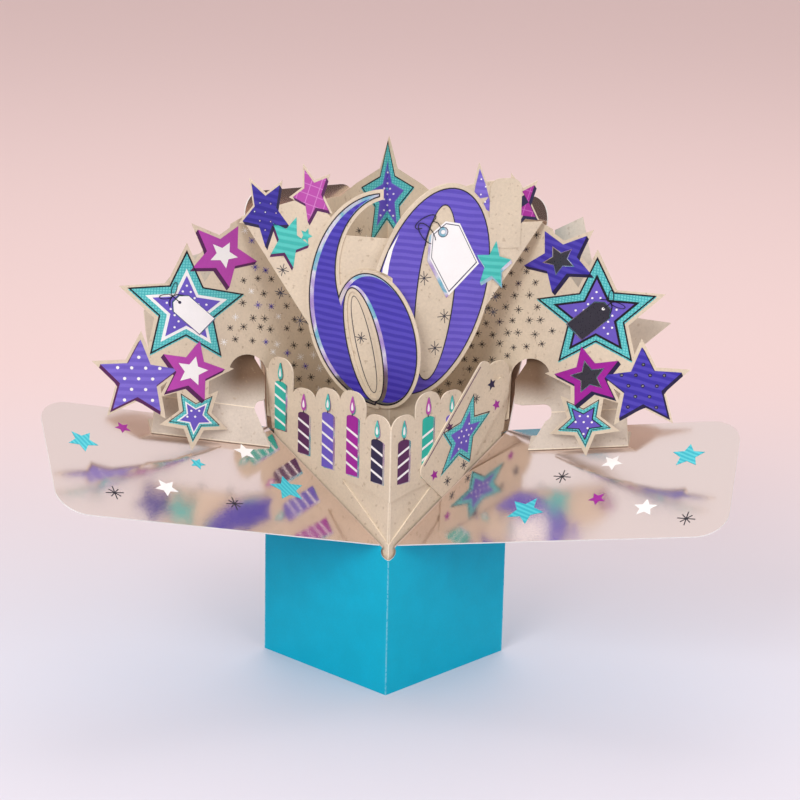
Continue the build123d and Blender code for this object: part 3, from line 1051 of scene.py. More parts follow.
# %% Banded stars
DOTS_CLEAR = 0.86
DOT_PITCH = 2.6
DOT_SIZE = 0.37
BLACK_LINE_RAISE = 0.45
BLACK_LINE_SHARE = 0.94
BAND_SHARE = 0.7
BAND_LINE_SHARES = (0.72, 0.69)
RIM_SHARE = 0.63
CORE_SHARE = 0.58
CORE_IN_BLACK_SHARE = 0.63


def as_drawn(loop):
    """Leaves a loop as it is."""
    return loop


def banded_star(sheet, centre, radius, turn, band, seams=(), slim=1.0, shape=as_drawn):
    """A checked aqua star with a black line, a band, and a dotted violet star inside."""

    def part(share, lift=0.0):
        return shape(star((centre[0], centre[1] + lift), radius * share, turn, slim))

    line = [part(1.0, BLACK_LINE_RAISE), part(BLACK_LINE_SHARE, BLACK_LINE_RAISE)]
    core = part(CORE_IN_BLACK_SHARE if band == "black_line" else CORE_SHARE)
    sheet.lay([part(1.0)], "aqua_check", 0, seams)
    sheet.lay(line, "black_line", 1, seams)
    sheet.lay([part(BAND_SHARE)], band, 1, seams)
    if band == "aqua_check":
        sheet.lay([part(RIM_SHARE), core], "lilac_purple", 2, seams)
    elif band == "black_line":
        sheet.lay([part(share) for share in BAND_LINE_SHARES], "black_line", 2, seams)
    sheet.lay([core], "violet", 3, seams)
    for place in dots_inside(core, centre, DOT_PITCH, DOTS_CLEAR):
        sheet.lay([dot(place, DOT_SIZE)], "white", 4)


print("dots of a banded star, pitch and size in mm:", DOT_PITCH, DOT_SIZE)

# %% Small tag on a star
STRING = 0.3
SMALL_TAG_CUT = 0.3
SMALL_TAG_BORDER = 1.06
SMALL_TAG_HOLE = 0.07
SMALL_TAG_HOLE_IN = 0.2
KNOT_AWAY = 0.42
BOW_LEAVES = ((-62, 0.34), (48, 0.3))
BOW_LEAF_HALF = 0.12
BOW_LEAF_LINE = 0.7
BOW_CORNERS = 32
TAIL_REACH = 0.5
TAIL_SAG = 0.08


def blank_tag(sheet, centre, length, width, heading, ink, border, hole_ink):
    """A small blank tag with cut corners, a hole at its head and a string tied in a bow."""
    cut = width * SMALL_TAG_CUT
    tag_loop = []
    for along, aside in (
        (-length / 2, -width / 2),
        (length / 2 - cut, -width / 2),
        (length / 2, -width / 2 + cut),
        (length / 2, width / 2 - cut),
        (length / 2 - cut, width / 2),
        (-length / 2, width / 2),
    ):
        tag_loop.append(heading_from(heading_from(centre, heading, along), heading + 90, aside))
    sheet.lay([resized(tag_loop, centre, SMALL_TAG_BORDER)], border, 5)
    sheet.lay([tag_loop], ink, 6)
    hole = heading_from(centre, heading, length / 2 - width * SMALL_TAG_HOLE_IN)
    sheet.lay([dot(hole, width * SMALL_TAG_HOLE)], hole_ink, 7)
    knot = heading_from(hole, heading, width * KNOT_AWAY)
    sheet.lay([drawn_line([hole, knot], STRING)], "black_line", 7)
    for turn, reach in BOW_LEAVES:
        middle = heading_from(knot, heading + turn, width * reach)
        leaf = (width * reach, width * BOW_LEAF_HALF)
        inner = (leaf[0] - STRING, leaf[1] - STRING * BOW_LEAF_LINE)
        leaf_loops = [oval(middle, half, heading + turn, BOW_CORNERS) for half in (leaf, inner)]
        sheet.lay(leaf_loops, "black_line", 7)
        backwards = heading + 180 + turn
        tail = heading_from(knot, backwards, width * TAIL_REACH)
        halfway = heading_from(knot, backwards, width * TAIL_REACH / 2)
        bend = heading_from(halfway, heading, width * TAIL_SAG)
        sheet.lay([drawn_line([knot, bend, tail], STRING)], "black_line", 7)


print("small tag helper ready")

# %% Star clusters on the wings
WING_INKS = {
    -1: {
        "upper": "mauve",
        "middle": "mauve",
        "outer": "lilac_purple",
        "shade": "plum",
        "inner": "white",
        "border": None,
        "band": "white",
        "ring": None,
        "dot": ("white", 0.55),
        "tag": ("white", "silver", "navy"),
    },
    1: {
        "upper": "blue_purple",
        "middle": "magenta",
        "outer": "blue_purple",
        "shade": "navy",
        "inner": "charcoal",
        "border": "silver",
        "band": "black_line",
        "ring": ("black_line", 0.62),
        "dot": ("silver", 0.36),
        "tag": ("charcoal", "silver", "white"),
    },
}
INNER_SHARES = {"upper": 0.42, "middle": 0.48}
OUTER_DOT_PITCH = 4.6
SMALL_TAG_SIZE = (13.4, 7.4)
SMALL_TAG_HEADING = 41.0
SMALL_TAG_ASIDE = 1.6
SMALL_TAG_DROP = 1.0
backdrop = Print(BentSheet("star_backdrop"), finest=3.0)
for side, wing_inks in WING_INKS.items():
    aside = side * SHADE_ASIDE
    for name, inner_share in INNER_SHARES.items():
        centre, radius, turn = wing_star(name, side)
        shaded_star(backdrop, centre, radius, turn, wing_inks[name], wing_inks["shade"], aside=aside)
        inner_star(backdrop, centre, radius * inner_share, turn, wing_inks["inner"], wing_inks["border"])
    for name in ("great", "lower"):
        banded_star(backdrop, *wing_star(name, side), wing_inks["band"])
    great_centre = wing_star("great", side)[0]
    heading = SMALL_TAG_HEADING if side > 0 else 180 - SMALL_TAG_HEADING
    tag_middle = (great_centre[0] - side * SMALL_TAG_ASIDE, great_centre[1] - SMALL_TAG_DROP)
    blank_tag(backdrop, tag_middle, *SMALL_TAG_SIZE, heading, *wing_inks["tag"])
    centre, radius, turn = wing_star("outer", side)
    loop = shaded_star(backdrop, centre, radius, turn, wing_inks["outer"], wing_inks["shade"], aside=aside)
    dot_ink, dot_size = wing_inks["dot"]
    for place in dots_inside(loop, centre, OUTER_DOT_PITCH, DOTS_CLEAR):
        if wing_inks["ring"]:
            ring_ink, ring_size = wing_inks["ring"]
            backdrop.lay([dot(place, ring_size)], ring_ink, 2)
        backdrop.lay([dot(place, dot_size)], dot_ink, 3)
print("backdrop inks so far:", backdrop.inks)

# %% [markdown]
# ## The crown star
# The crown star stands over the middle of the card and is folded down its own middle. Seen from the front,
# its arms droop on both sides of the fold, and the ink is rubbed paler along the fold. It is a banded star
# like those on the wings, drawn slimmer, drooped by a function, and cut by a seam at the fold.

# %% Crown
CROWN_CENTRE = (-0.5, 89.2)
CROWN_RADIUS = 20.4
CROWN_SLIM = 0.52
CROWN_DROOP = 0.5
CROWN_FOLD_HALF = 0.2
CROWN_FOLD_RISE = (84.4, 99.0)
FOLD_SEAM = [((0, -60), (0, 160))]


def chevron(loop):
    """A loop that droops on both sides of the centre fold, with a corner wherever it crosses the fold."""
    drooped = []
    for step, corner in enumerate(loop):
        following = loop[(step + 1) % len(loop)]
        drooped.append((corner[0], corner[1] - CROWN_DROOP * abs(corner[0])))
        if corner[0] * following[0] < 0:
            share = corner[0] / (corner[0] - following[0])
            drooped.append((0.0, corner[1] + share * (following[1] - corner[1])))
    return drooped


banded_star(backdrop, CROWN_CENTRE, CROWN_RADIUS, 0.0, "aqua_check", FOLD_SEAM, CROWN_SLIM, chevron)
crown_fold = [
    (-CROWN_FOLD_HALF, CROWN_FOLD_RISE[0]),
    (CROWN_FOLD_HALF, CROWN_FOLD_RISE[0]),
    (CROWN_FOLD_HALF, CROWN_FOLD_RISE[1]),
    (-CROWN_FOLD_HALF, CROWN_FOLD_RISE[1]),
]
backdrop.lay([crown_fold], "lilac_purple", 5, FOLD_SEAM)
print("crown top in mm over the tube's side corners:", CROWN_CENTRE[1] + CROWN_RADIUS)

# %% [markdown]
# ## Sparkles on the inner pages
# Between the stars, the backdrop's pages are scattered with small sparkles, dark ones with some white and
# blue. A jittered grid with a fixed seed spreads them evenly without a visible pattern, and places on a
# star or off the sheet are skipped.

# %% Sparkles on the backdrop
SPARKLE_PITCH = 4.9
SPARKLE_RADIUS = 1.4
SPARKLE_STROKE = 0.17
SPARKLE_ROWS = range(-3, 20)
SPARKLE_COLUMNS = 12
SPARKLE_FIRST = 3.0
SPARKLE_ROW_STEP = 0.9
SPARKLE_JITTER = 0.9
SPARKLE_SIZES = (0.85, 1.1)
SPARKLE_TURN = 45
SPARKLE_SEED = 60
SPARKLE_INKS = {
    -1: ["black_line"] * 5 + ["white", "white", "blue_purple"],
    1: ["black_line"] * 5 + ["navy"],
}
PAGE_CLEAR = 4
CROWN_CLEAR = 17
ARCH_SIDE = 2
ARCH = ((HALF_DIAGONAL + 6.9, 19.8), 9.0)
PAGE_TOP = ((HALF_DIAGONAL + 9.1, 75.1), (18.2, 86.5))
PAGE_FOOT = ((0.0, -15.3), (HALF_DIAGONAL, 4.3))


def on_line(line, across):
    """The rise of a straight line at a distance across."""
    (first, first_rise), (second, second_rise) = line
    return first_rise + (second_rise - first_rise) * (across - first) / (second - first)


def free_for_sparkle(across, rise):
    """Whether a sparkle has room on a page of the backdrop."""
    top = on_line(PAGE_TOP, across) - PAGE_CLEAR
    foot = on_line(PAGE_FOOT, min(across, HALF_DIAGONAL)) + PAGE_CLEAR
    if rise > top or rise < foot:
        return False
    arch_middle, arch_radius = ARCH
    beside_arch = across > HALF_DIAGONAL - ARCH_SIDE and rise < arch_middle[1]
    if beside_arch or math.dist((across, rise), arch_middle) < arch_radius:
        return False
    for name in WING_STARS:
        centre, radius, turn = wing_star(name, 1)
        if inside_loop(star(centre, radius + PAGE_CLEAR, turn), (across, rise)):
            return False
    return math.dist((across, rise), (0, CROWN_CENTRE[1])) > CROWN_CLEAR


dice = random.Random(SPARKLE_SEED)
for side, inks in SPARKLE_INKS.items():
    for row in SPARKLE_ROWS:
        for column in range(SPARKLE_COLUMNS):
            across = SPARKLE_FIRST + (column + 0.5 * (row % 2)) * SPARKLE_PITCH
            across += dice.uniform(-SPARKLE_JITTER, SPARKLE_JITTER)
            rise = row * SPARKLE_PITCH * SPARKLE_ROW_STEP + dice.uniform(-SPARKLE_JITTER, SPARKLE_JITTER)
            turn = dice.uniform(0, SPARKLE_TURN)
            ink = dice.choice(inks)
            size = SPARKLE_RADIUS * dice.uniform(*SPARKLE_SIZES)
            if free_for_sparkle(across, rise):
                backdrop.lay([sparkle((side * across, rise), size, SPARKLE_STROKE, turn)], ink)
backdrop.finish("star_backdrop_print", "kraft_card")

# %% [markdown]
# ## The fan's pages
# The two pages of the fan meet at a fold that points to the viewer. Both carry small stars near their
# tops and a few sparkles, the left one the numeral 6 and the right one the numeral 0. Each page is one flat
# sheet with its print measured from the fold and from the height of the tube's side corners. On the right
# page, the stars at the top show only beside the zero's card and its tab.

# %% Stars and sparkles on the left page
FAN_TURN = math.radians(17)
FAN_ORIGIN = Vector((0, -14.0, SIDE_HEIGHT))
STAR_SLIM = 0.72
AQUA_SLIM = 0.8
FAN_STARS = {
    "purple": {"centre": (46.8, 79.2), "radius": 12.4, "turn": 36, "slim": STAR_SLIM, "aside": -0.8},
    "mauve": {"centre": (29.6, 86.4), "radius": 9.8, "turn": -24, "slim": STAR_SLIM, "aside": -0.7},
    "left_aqua": {"centre": (38.1, 69.4), "radius": 9.6, "turn": 22, "slim": AQUA_SLIM, "aside": 0.5},
    "tip": {"centre": (32.1, 87.6), "radius": 9.2, "turn": 6, "slim": STAR_SLIM, "aside": 0.6},
    "magenta": {"centre": (47.0, 83.6), "radius": 9.8, "turn": 24, "slim": STAR_SLIM, "aside": 0.9},
    "right_aqua": {"centre": (37.4, 62.3), "radius": 8.6, "turn": -8, "slim": AQUA_SLIM, "aside": 0.5},
}
SMALL_AQUA_STAR = {"centre": (31.6, 71.9), "radius": 2.9, "turn": 20, "slim": AQUA_SLIM}
PURPLE_DOT_PITCH = 4.0
PURPLE_DOT_RING = 0.42
PURPLE_DOT = 0.26
FAN_DOTS_CLEAR = 0.8
FAN_STROKE = 0.26
LEFT_SPARKLES = ((40.2, 58.9), (40.9, 50.5), (33.5, 41.0))
left_dir = Vector((-math.cos(FAN_TURN), math.sin(FAN_TURN), 0))
right_dir = Vector((math.cos(FAN_TURN), math.sin(FAN_TURN), 0))
left_front = Vector((-math.sin(FAN_TURN), -math.cos(FAN_TURN), 0))
right_front = Vector((math.sin(FAN_TURN), -math.cos(FAN_TURN), 0))
left_page = Print(FlatSheet(FAN_ORIGIN, left_dir, UPRIGHT, left_front))
purple_star = shaded_star(left_page, ink="deep_purple", shade="navy", **FAN_STARS["purple"])
for place in dots_inside(purple_star, FAN_STARS["purple"]["centre"], PURPLE_DOT_PITCH, FAN_DOTS_CLEAR):
    left_page.lay([dot(place, PURPLE_DOT_RING)], "navy", 2)
    left_page.lay([dot(place, PURPLE_DOT)], "silver", 3)
shaded_star(left_page, ink="mauve_grid", shade="plum", **FAN_STARS["mauve"])
shaded_star(left_page, ink="aqua_stripe", shade="plum", **FAN_STARS["left_aqua"])
left_page.lay([star(**SMALL_AQUA_STAR)], "aqua_stripe", 2)
for place in LEFT_SPARKLES:
    left_page.lay([sparkle(place, radius=2.3, stroke=FAN_STROKE, turn=12)], "charcoal")
print("left page inks so far:", left_page.inks)

# %% Stars and sparkles on the right page
TIP_DOT_PITCH = 3.4
TIP_DOT = 0.3
RIGHT_SPARKLES = ((38.8, 50.4), (38.2, 44.9), (34.8, 46.2))
ZERO_CUT = ((14.1, 53.5), (22.0, 39.4), -14.9)
TAB_LEFT = 35.5
TAB_RIGHT = 47.5
CARD_LEVEL = 6
right_page = Print(FlatSheet(FAN_ORIGIN, right_dir, UPRIGHT, right_front))


def beside_zero(point):
    """Whether a point is clear of the zero's card and its tab."""
    return point[0] < TAB_LEFT and not in_oval(point, *ZERO_CUT)


def beside_tab(point):
    """Whether a point is right of the zero's tab."""
    return point[0] > TAB_RIGHT


tip_star = shaded_star(right_page, ink="lilac_purple", shade="kraft", keep=beside_zero, **FAN_STARS["tip"])
for place in dots_inside(tip_star, FAN_STARS["tip"]["centre"], TIP_DOT_PITCH, FAN_DOTS_CLEAR):
    if beside_zero(place):
        right_page.lay([dot(place, TIP_DOT)], "white", 2)
shaded_star(right_page, ink="magenta_grid", shade="navy", keep=beside_tab, **FAN_STARS["magenta"])
shaded_star(right_page, ink="aqua_stripe", shade="silver", level=CARD_LEVEL + 3, **FAN_STARS["right_aqua"])
for place in RIGHT_SPARKLES:
    right_page.lay([sparkle(place, radius=1.9, stroke=FAN_STROKE, turn=20)], "charcoal")
print("right page inks so far:", right_page.inks)

# %% [markdown]
# ## The numeral 0
# The zero is a card of its own with a blank tab, pasted on the right page. It is a leaning oval with a
# slimmer oval counter, printed in soft purple stripes with a black hairline all round and a white glint on
# its left. The card runs a little past the fold in the right page's own plane, and stops short of the six.

# %% Shape of the zero
ZERO_OUTER = ((14.1, 53.5), (20.5, 37.9), -14.9)
ZERO_COUNTER = ((16.0, 53.0), (6.8, 31.4), -5.4)
SIX_BOWL = ((5.2, 36.6), (15.8, 25.4), -13.5)
SIX_COUNTER = ((9.7, 34.3), (4.6, 19.5), -13.5)
SIX_CLEAR = 0.9
FOLD_LINE = [((0, -20), (0, 120))]


def grown(oval_shape, margin):
    """An ellipse made larger all round."""
    centre, half, lean = oval_shape
    return centre, (half[0] + margin, half[1] + margin), lean


def clear_of_six(point):
    """Whether a point of the right page's plane is right of the fold or, past it, clear of the six."""
    return point[0] > 0 or not in_oval((-point[0], point[1]), *grown(SIX_BOWL, SIX_CLEAR))


def zero_inside(point, margin):
    """Whether a point is in the zero's stroke, at least margin from its border."""
    in_oval_ring = in_oval(point, *grown(ZERO_OUTER, -margin))
    in_oval_ring = in_oval_ring and not in_oval(point, *grown(ZERO_COUNTER, margin))
    return in_oval_ring and clear_of_six(point)


bowl_line = [(-across, rise) for across, rise in oval(*grown(SIX_BOWL, SIX_CLEAR))]
print("corners of the line beside the six:", len(bowl_line))

# %% Card and films of the zero
HAIRLINE = 0.42
UNDER_HAIRLINE = 0.9
TAB_TOP = 93.0
TAB_FOOT = 68.0
TAB_CORNER = 4.0
CARD_THICKNESS = 0.3
ZERO_GLINT = [
    (-4.3, 58.2),
    (-3.7, 63.0),
    (-1.7, 69.0),
    (2.0, 75.0),
    (-0.2, 69.6),
    (-1.4, 64.4),
    (-2.2, 58.2),
]


def on_zero_card(point):
    """Whether a point is on the zero's card or its tab."""
    return (in_oval(point, *ZERO_CUT) and clear_of_six(point)) or inside_loop(tab, point)


tab_round = (TAB_CORNER, TAB_CORNER)
tab = [
    (TAB_LEFT, TAB_FOOT),
    (TAB_RIGHT, TAB_FOOT),
    (TAB_RIGHT, TAB_TOP - TAB_CORNER),
    *curl((TAB_RIGHT - TAB_CORNER, TAB_TOP - TAB_CORNER), tab_round, 0, 90, 0),
    *curl((TAB_LEFT + TAB_CORNER, TAB_TOP - TAB_CORNER), tab_round, 90, 90, 0),
]
zero_card = Print(FlatSheet(FAN_ORIGIN, right_dir, UPRIGHT, right_front), thickness=CARD_THICKNESS)
zero_card.lay([oval(*ZERO_CUT), tab, bowl_line], "kraft", CARD_LEVEL, FOLD_LINE, on_zero_card)
zero_card.finish("zero_card", "kraft_card")
zero_loops = [oval(*grown(ZERO_OUTER, -margin)) for margin in (0, HAIRLINE)]
zero_loops += [oval(*grown(ZERO_COUNTER, margin)) for margin in (0, HAIRLINE)]
zero_loops.append(bowl_line)
purple_from = HAIRLINE * UNDER_HAIRLINE
right_page.lay(
    zero_loops, "zero_purple", CARD_LEVEL + 1, FOLD_LINE, lambda point: zero_inside(point, purple_from)
)
right_page.lay(
    zero_loops,
    "black_line",
    CARD_LEVEL + 2,
    FOLD_LINE,
    lambda point: zero_inside(point, 0) and not zero_inside(point, HAIRLINE),
)
right_page.lay(
    [ZERO_GLINT, bowl_line],
    "white",
    CARD_LEVEL + 3,
    inside=lambda point: inside_loop(ZERO_GLINT, point) and clear_of_six(point),
)
print("zero laid, its card's thickness in mm:", CARD_THICKNESS)

# %% [markdown]
# ## The label on the zero
# A blank white label with a cut head is printed over the zero's counter, with a silver shade, a thin border,
# a grommet and a string tied in a loose bow. The bow is drawn from parts of leaning ovals and short lines.
# Sparkles are printed in the counters of both numerals, and a thin dark oval line is laid on the page inside
# the six's counter.

# %% Label, bow and sparkles in the counters
LABEL = [(19.1, 78.7), (24.4, 77.7), (32.0, 63.0), (21.0, 52.0), (13.5, 65.7), (14.0, 74.6)]
LABEL_MIDDLE = (20.7, 68.6)
LABEL_SHADE = -0.9
LABEL_BORDER = (0.93, 0.9)
GROMMET = (18.2, 74.9)
GROMMET_RING = (1.7, 0.8)
GROMMET_LINE = (1.9, 1.65)
BOW_LINES = (
    curl((12.2, 74.6), (2.0, 4.6), 300, 300, 38),
    curl((11.6, 78.8), (1.6, 4.2), 20, 310, -62),
    [(17.4, 76.4), (16.2, 78.2), (14.6, 78.9), (13.4, 77.4)],
    [(13.4, 77.4), (12.0, 73.0), (11.8, 70.2)],
)
ZERO_SPARKLES = ((11.7, 58.6), (19.6, 44.5), (16.4, 33.0))
SIX_SPARKLE = (10.9, 36.6)
COUNTER_LINE = 1.6

right_page.lay([shifted(LABEL, LABEL_SHADE, LABEL_SHADE)], "silver", CARD_LEVEL + 4)
right_page.lay([LABEL], "white", CARD_LEVEL + 5)
right_page.lay([resized(LABEL, LABEL_MIDDLE, share) for share in LABEL_BORDER], "navy", CARD_LEVEL + 6)
right_page.lay([dot(GROMMET, radius) for radius in GROMMET_RING], "silver", CARD_LEVEL + 7)
right_page.lay([dot(GROMMET, radius) for radius in GROMMET_LINE], "black_line", CARD_LEVEL + 7)
for points in BOW_LINES:
    right_page.lay([drawn_line(points, STRING)], "black_line", CARD_LEVEL + 8)
for place in ZERO_SPARKLES:
    right_page.lay([sparkle(place, radius=2.6, stroke=FAN_STROKE, turn=5)], "charcoal", CARD_LEVEL + 1)
left_page.lay([sparkle(SIX_SPARKLE, radius=2.2, stroke=FAN_STROKE, turn=8)], "charcoal")
left_page.lay(
    [oval(*grown(SIX_COUNTER, -COUNTER_LINE)), oval(*grown(SIX_COUNTER, -COUNTER_LINE - STRING))],
    "charcoal",
)
left_page.finish("fan_left_print", "kraft_card")
right_page.finish("fan_right_print", "kraft_card")

# %% [markdown]
# ## The numeral 6
# The six is its own die-cut piece, one glue line in front of the left page. Its shape is a crescent stem,
# an oval bowl and an oval counter. The films use the same ovals drawn in from the cut: a hairline, a
# silver foil border, and the striped purple moved to the right, so that more foil shows on the left of
# each stroke, as on a stamped numeral.

# %% Six
SIX_OUTER = ((1.6, 50.8), (29.8, 39.7), 0.0)
SIX_INNER = ((-1.0, 61.0), (20.2, 26.5), 0.0)
SIX_TIP = 3.5
SIX_MARGIN = 1.2
SIX_CORNERS = 96
TIP_LINE_RISE = (-10, 110)
FOIL_BORDER = 1.1
FOIL_SHIFT = 0.75
six_page = Print(FlatSheet(FAN_ORIGIN + left_front * STACK, left_dir, UPRIGHT, left_front))


def six_inside(point, margin):
    """Whether a point is in the six, at least margin from its cut."""
    stem = in_oval(point, *grown(SIX_OUTER, -margin)) and not in_oval(point, *grown(SIX_INNER, margin))
    stem = stem and point[0] > SIX_TIP + margin
    bowl = in_oval(point, *grown(SIX_BOWL, -margin)) and not in_oval(point, *grown(SIX_COUNTER, margin))
    in_counter = in_oval(point, *grown(SIX_COUNTER, margin))
    return (stem and not in_counter) or bowl


def six_loops(margin, shift=0.0):
    """The borders of the six drawn in by a margin."""
    shapes = [
        grown(SIX_OUTER, -margin),
        grown(SIX_INNER, margin),
        grown(SIX_BOWL, -margin),
        grown(SIX_COUNTER, margin),
    ]
    return [shifted(oval(*shape, corners=SIX_CORNERS), shift, 0) for shape in shapes]


def tip_line(margin):
    """The straight end of the stem, drawn in by a margin."""
    return [tuple((SIX_TIP + margin, rise) for rise in TIP_LINE_RISE)]


line_in = SIX_MARGIN + HAIRLINE
purple_in = SIX_MARGIN + FOIL_BORDER
six_page.lay(
    six_loops(SIX_MARGIN),
    "silver",
    0,
    tip_line(SIX_MARGIN),
    lambda point: six_inside(point, SIX_MARGIN),
)
six_page.lay(
    six_loops(SIX_MARGIN) + six_loops(line_in),
    "black_line",
    2,
    tip_line(SIX_MARGIN) + tip_line(line_in),
    lambda point: six_inside(point, SIX_MARGIN) and not six_inside(point, line_in),
)
six_page.lay(
    six_loops(purple_in, -FOIL_SHIFT) + six_loops(line_in),
    "blue_purple",
    1,
    tip_line(line_in),
    lambda point: six_inside((point[0] + FOIL_SHIFT, point[1]), purple_in) and six_inside(point, line_in),
)
six_page.finish("numeral_six_print", "numeral_card")

# %% [markdown]
# ## Candles on the banner
# The banner's top edge is cut into five rounded lobes on each side of the front fold. A candle is printed
# on each lobe that the tag doesn't cover: a striped body with a foil glint, a wick and a flame. Bodies
# start at one common height, or a little over the tube's slanted edge where that is higher.

# %% Candle shapes
CANDLE_WIDTH = 5.6
SHOULDER_RISE = 1.1
SHOULDER_STEP = 20
STRIPE_RISE = 2.2
STRIPE_WIDTH = 0.9
FLAME_CORNERS = 28
FLAME_HALF = (0.62, 1.15)
FLAME_PINCH = 0.75


def candle_body(across, low, high):
    """A candle's body with a soft round shoulder."""
    half = CANDLE_WIDTH / 2
    loop = [(across - half, low), (across + half, low)]
    for degrees in range(0, 181, SHOULDER_STEP):
        angle = math.radians(degrees)
        loop.append((across + half * math.cos(angle), high + SHOULDER_RISE * math.sin(angle)))
    return loop


def candle_stripe(across, foot):
    """A slanting stripe across a candle."""
    half = CANDLE_WIDTH / 2
    return [
        (across - half, foot),
        (across + half, foot + STRIPE_RISE),
        (across + half, foot + STRIPE_RISE + STRIPE_WIDTH),
        (across - half, foot + STRIPE_WIDTH),
    ]


def flame(across, rise, size):
    """A drop-shaped flame."""
    loop = []
    for step in range(FLAME_CORNERS):
        angle = 2 * math.pi * step / FLAME_CORNERS
        fullness = 0.5 - 0.5 * math.sin(angle)
        half = size * FLAME_HALF[0] * math.cos(angle) * (1 - FLAME_PINCH + FLAME_PINCH * fullness)
        loop.append((across + half, rise + size * FLAME_HALF[1] * math.sin(angle)))
    return loop


print("candle width in mm:", CANDLE_WIDTH)

# %% Candles on both halves of the banner
LOBE_FIRST = 6.2
LOBE_LAST = WALL_WIDTH - 7.1
LOBE_RISES = [15.9, 22.0, 20.5, 18.0, 27.0]
CANDLE_FOOT = -8.6
CANDLE_OVER_EDGE = 4
GLINT_ASIDE = 0.9
GLINT_DROP = 0.3
STRIPE_PITCH = 4.2
STRIPE_FIRST = 1.6
WICK = ((0.0, 0.8), (0.1, 2.4))
WICK_WIDTH = 0.5
FLAME_DROP = 4.9
FLAME_SIZE = 2.7
FLAME_GLINT = 2.9
FLAME_GLINT_ASIDE = 0.4
FLAME_GLINT_DROP = 0.2
FLAME_HEART = 1.3
FLAME_HEART_DROP = 0.6
SHEETS_TO_BANNER = 2
left_wall = Vector((-1, 1, 0)).normalized()
right_wall = Vector((1, 1, 0)).normalized()
BANNER_ORIGIN = Vector((0, -HALF_DIAGONAL + SHEETS_TO_BANNER * STACK * math.sqrt(2), SIDE_HEIGHT))
BANNER_INKS = {-1: ["navy", "magenta", "violet", "plum", "jade"], 1: ["plum", "jade", "violet"]}
for side, wall, outwards in ((-1, left_wall, Vector((-1, -1, 0))), (1, right_wall, Vector((1, -1, 0)))):
    page = Print(FlatSheet(BANNER_ORIGIN, wall, UPRIGHT, outwards))
    for index, (rise, ink) in enumerate(zip(LOBE_RISES, BANNER_INKS[side])):
        across = LOBE_FIRST + index * (LOBE_LAST - LOBE_FIRST) / (len(LOBE_RISES) - 1)
        hidden_below = across * CREASE_RISE / WALL_WIDTH - CREASE_RISE
        low = max(CANDLE_FOOT, hidden_below + CANDLE_OVER_EDGE)
        high = rise - FLAME_DROP * 2
        glint_aside = side * GLINT_ASIDE
        body = candle_body(across, low, high)
        page.lay([shifted(body, glint_aside, -GLINT_DROP)], "silver")
        page.lay([body], ink, 1)
        for band in range(int((high - low) / STRIPE_PITCH)):
            foot = low + STRIPE_FIRST + band * STRIPE_PITCH
            page.lay([candle_stripe(across, foot)], "white", 2)
        page.lay([drawn_line(shifted(WICK, across, high), WICK_WIDTH)], "black_line", 2)
        flame_rise = rise - FLAME_DROP
        flame_glint = (across + glint_aside * FLAME_GLINT_ASIDE, flame_rise - FLAME_GLINT_DROP)
        page.lay([flame(*flame_glint, FLAME_GLINT)], "silver", 2)
        page.lay([flame(across, flame_rise, FLAME_SIZE)], "mauve" if index % 2 else "aqua_stripe", 3)
        page.lay([flame(across, flame_rise - FLAME_HEART_DROP, FLAME_HEART)], "white", 4)
    page.finish("banner_left_print" if side < 0 else "banner_right_print", "kraft_card")

# %% [markdown]
# ## The tag
# The tag is a long kraft label, tucked behind the right wall. It has one banded star, a thin line along one
# side, and a few small stars and sparkles. Its print is drawn in the same wall coordinates as the banner,
# one sheet nearer.

# %% Tag
TAG_ORIGIN = Vector((0, -HALF_DIAGONAL + STACK * math.sqrt(2), SIDE_HEIGHT))
tag_page = Print(FlatSheet(TAG_ORIGIN, right_wall, UPRIGHT, Vector((1, -1, 0))))
TAG_TURN = 47.6
TAG_LENGTH = 49.0
TAG_WIDTH = 21.5
TAG_END_REACH = 0.9
TAG_RISE = 4.5
tag_angle = math.radians(TAG_TURN)
tag_half = (TAG_LENGTH * math.cos(tag_angle) + TAG_WIDTH * math.sin(tag_angle)) / 2
TAG_CENTRE = (WALL_WIDTH + TAG_END_REACH - tag_half, TAG_RISE)


def on_tag(along, aside):
    """A place on the tag, measured from its middle along its length and across it."""
    return (
        TAG_CENTRE[0] + along * math.cos(tag_angle) - aside * math.sin(tag_angle),
        TAG_CENTRE[1] + along * math.sin(tag_angle) + aside * math.cos(tag_angle),
    )


TAG_STAR_CENTRE = on_tag(-2.2, -0.4)
TAG_STAR_RADIUS = 10.4
TAG_STAR_STRETCH = 1.65
TAG_LINE_ASIDE = 9.8
TAG_LINE_HALF = 21.0
TAG_LINE_WIDTH = 0.35
TAG_SPARKLE = {"radius": 2.0, "stroke": 0.28, "turn": 10}
TAG_SMALL_STAR_TURN = 15
TAG_SPARKLES = ((11.4, 3.5), (-9.8, -8.2), (-18.6, -4.7))
TAG_SMALL_STARS = [
    (19.7, 0.1, 2.3, "navy"),
    (15.7, -7.6, 2.2, "magenta"),
    (-3.8, 8.2, 2.0, "plum"),
    (-20.6, 2.9, 2.1, "magenta"),
]


def along_tag(loop):
    """A loop of the long star, stretched along the tag's length."""
    heading = Vector((math.cos(tag_angle), math.sin(tag_angle)))
    middle = Vector(TAG_STAR_CENTRE)
    stretched = []
    for point in loop:
        along = (Vector(point) - middle).dot(heading)
        stretched.append(tuple(Vector(point) + heading * (along * (TAG_STAR_STRETCH - 1))))
    return stretched


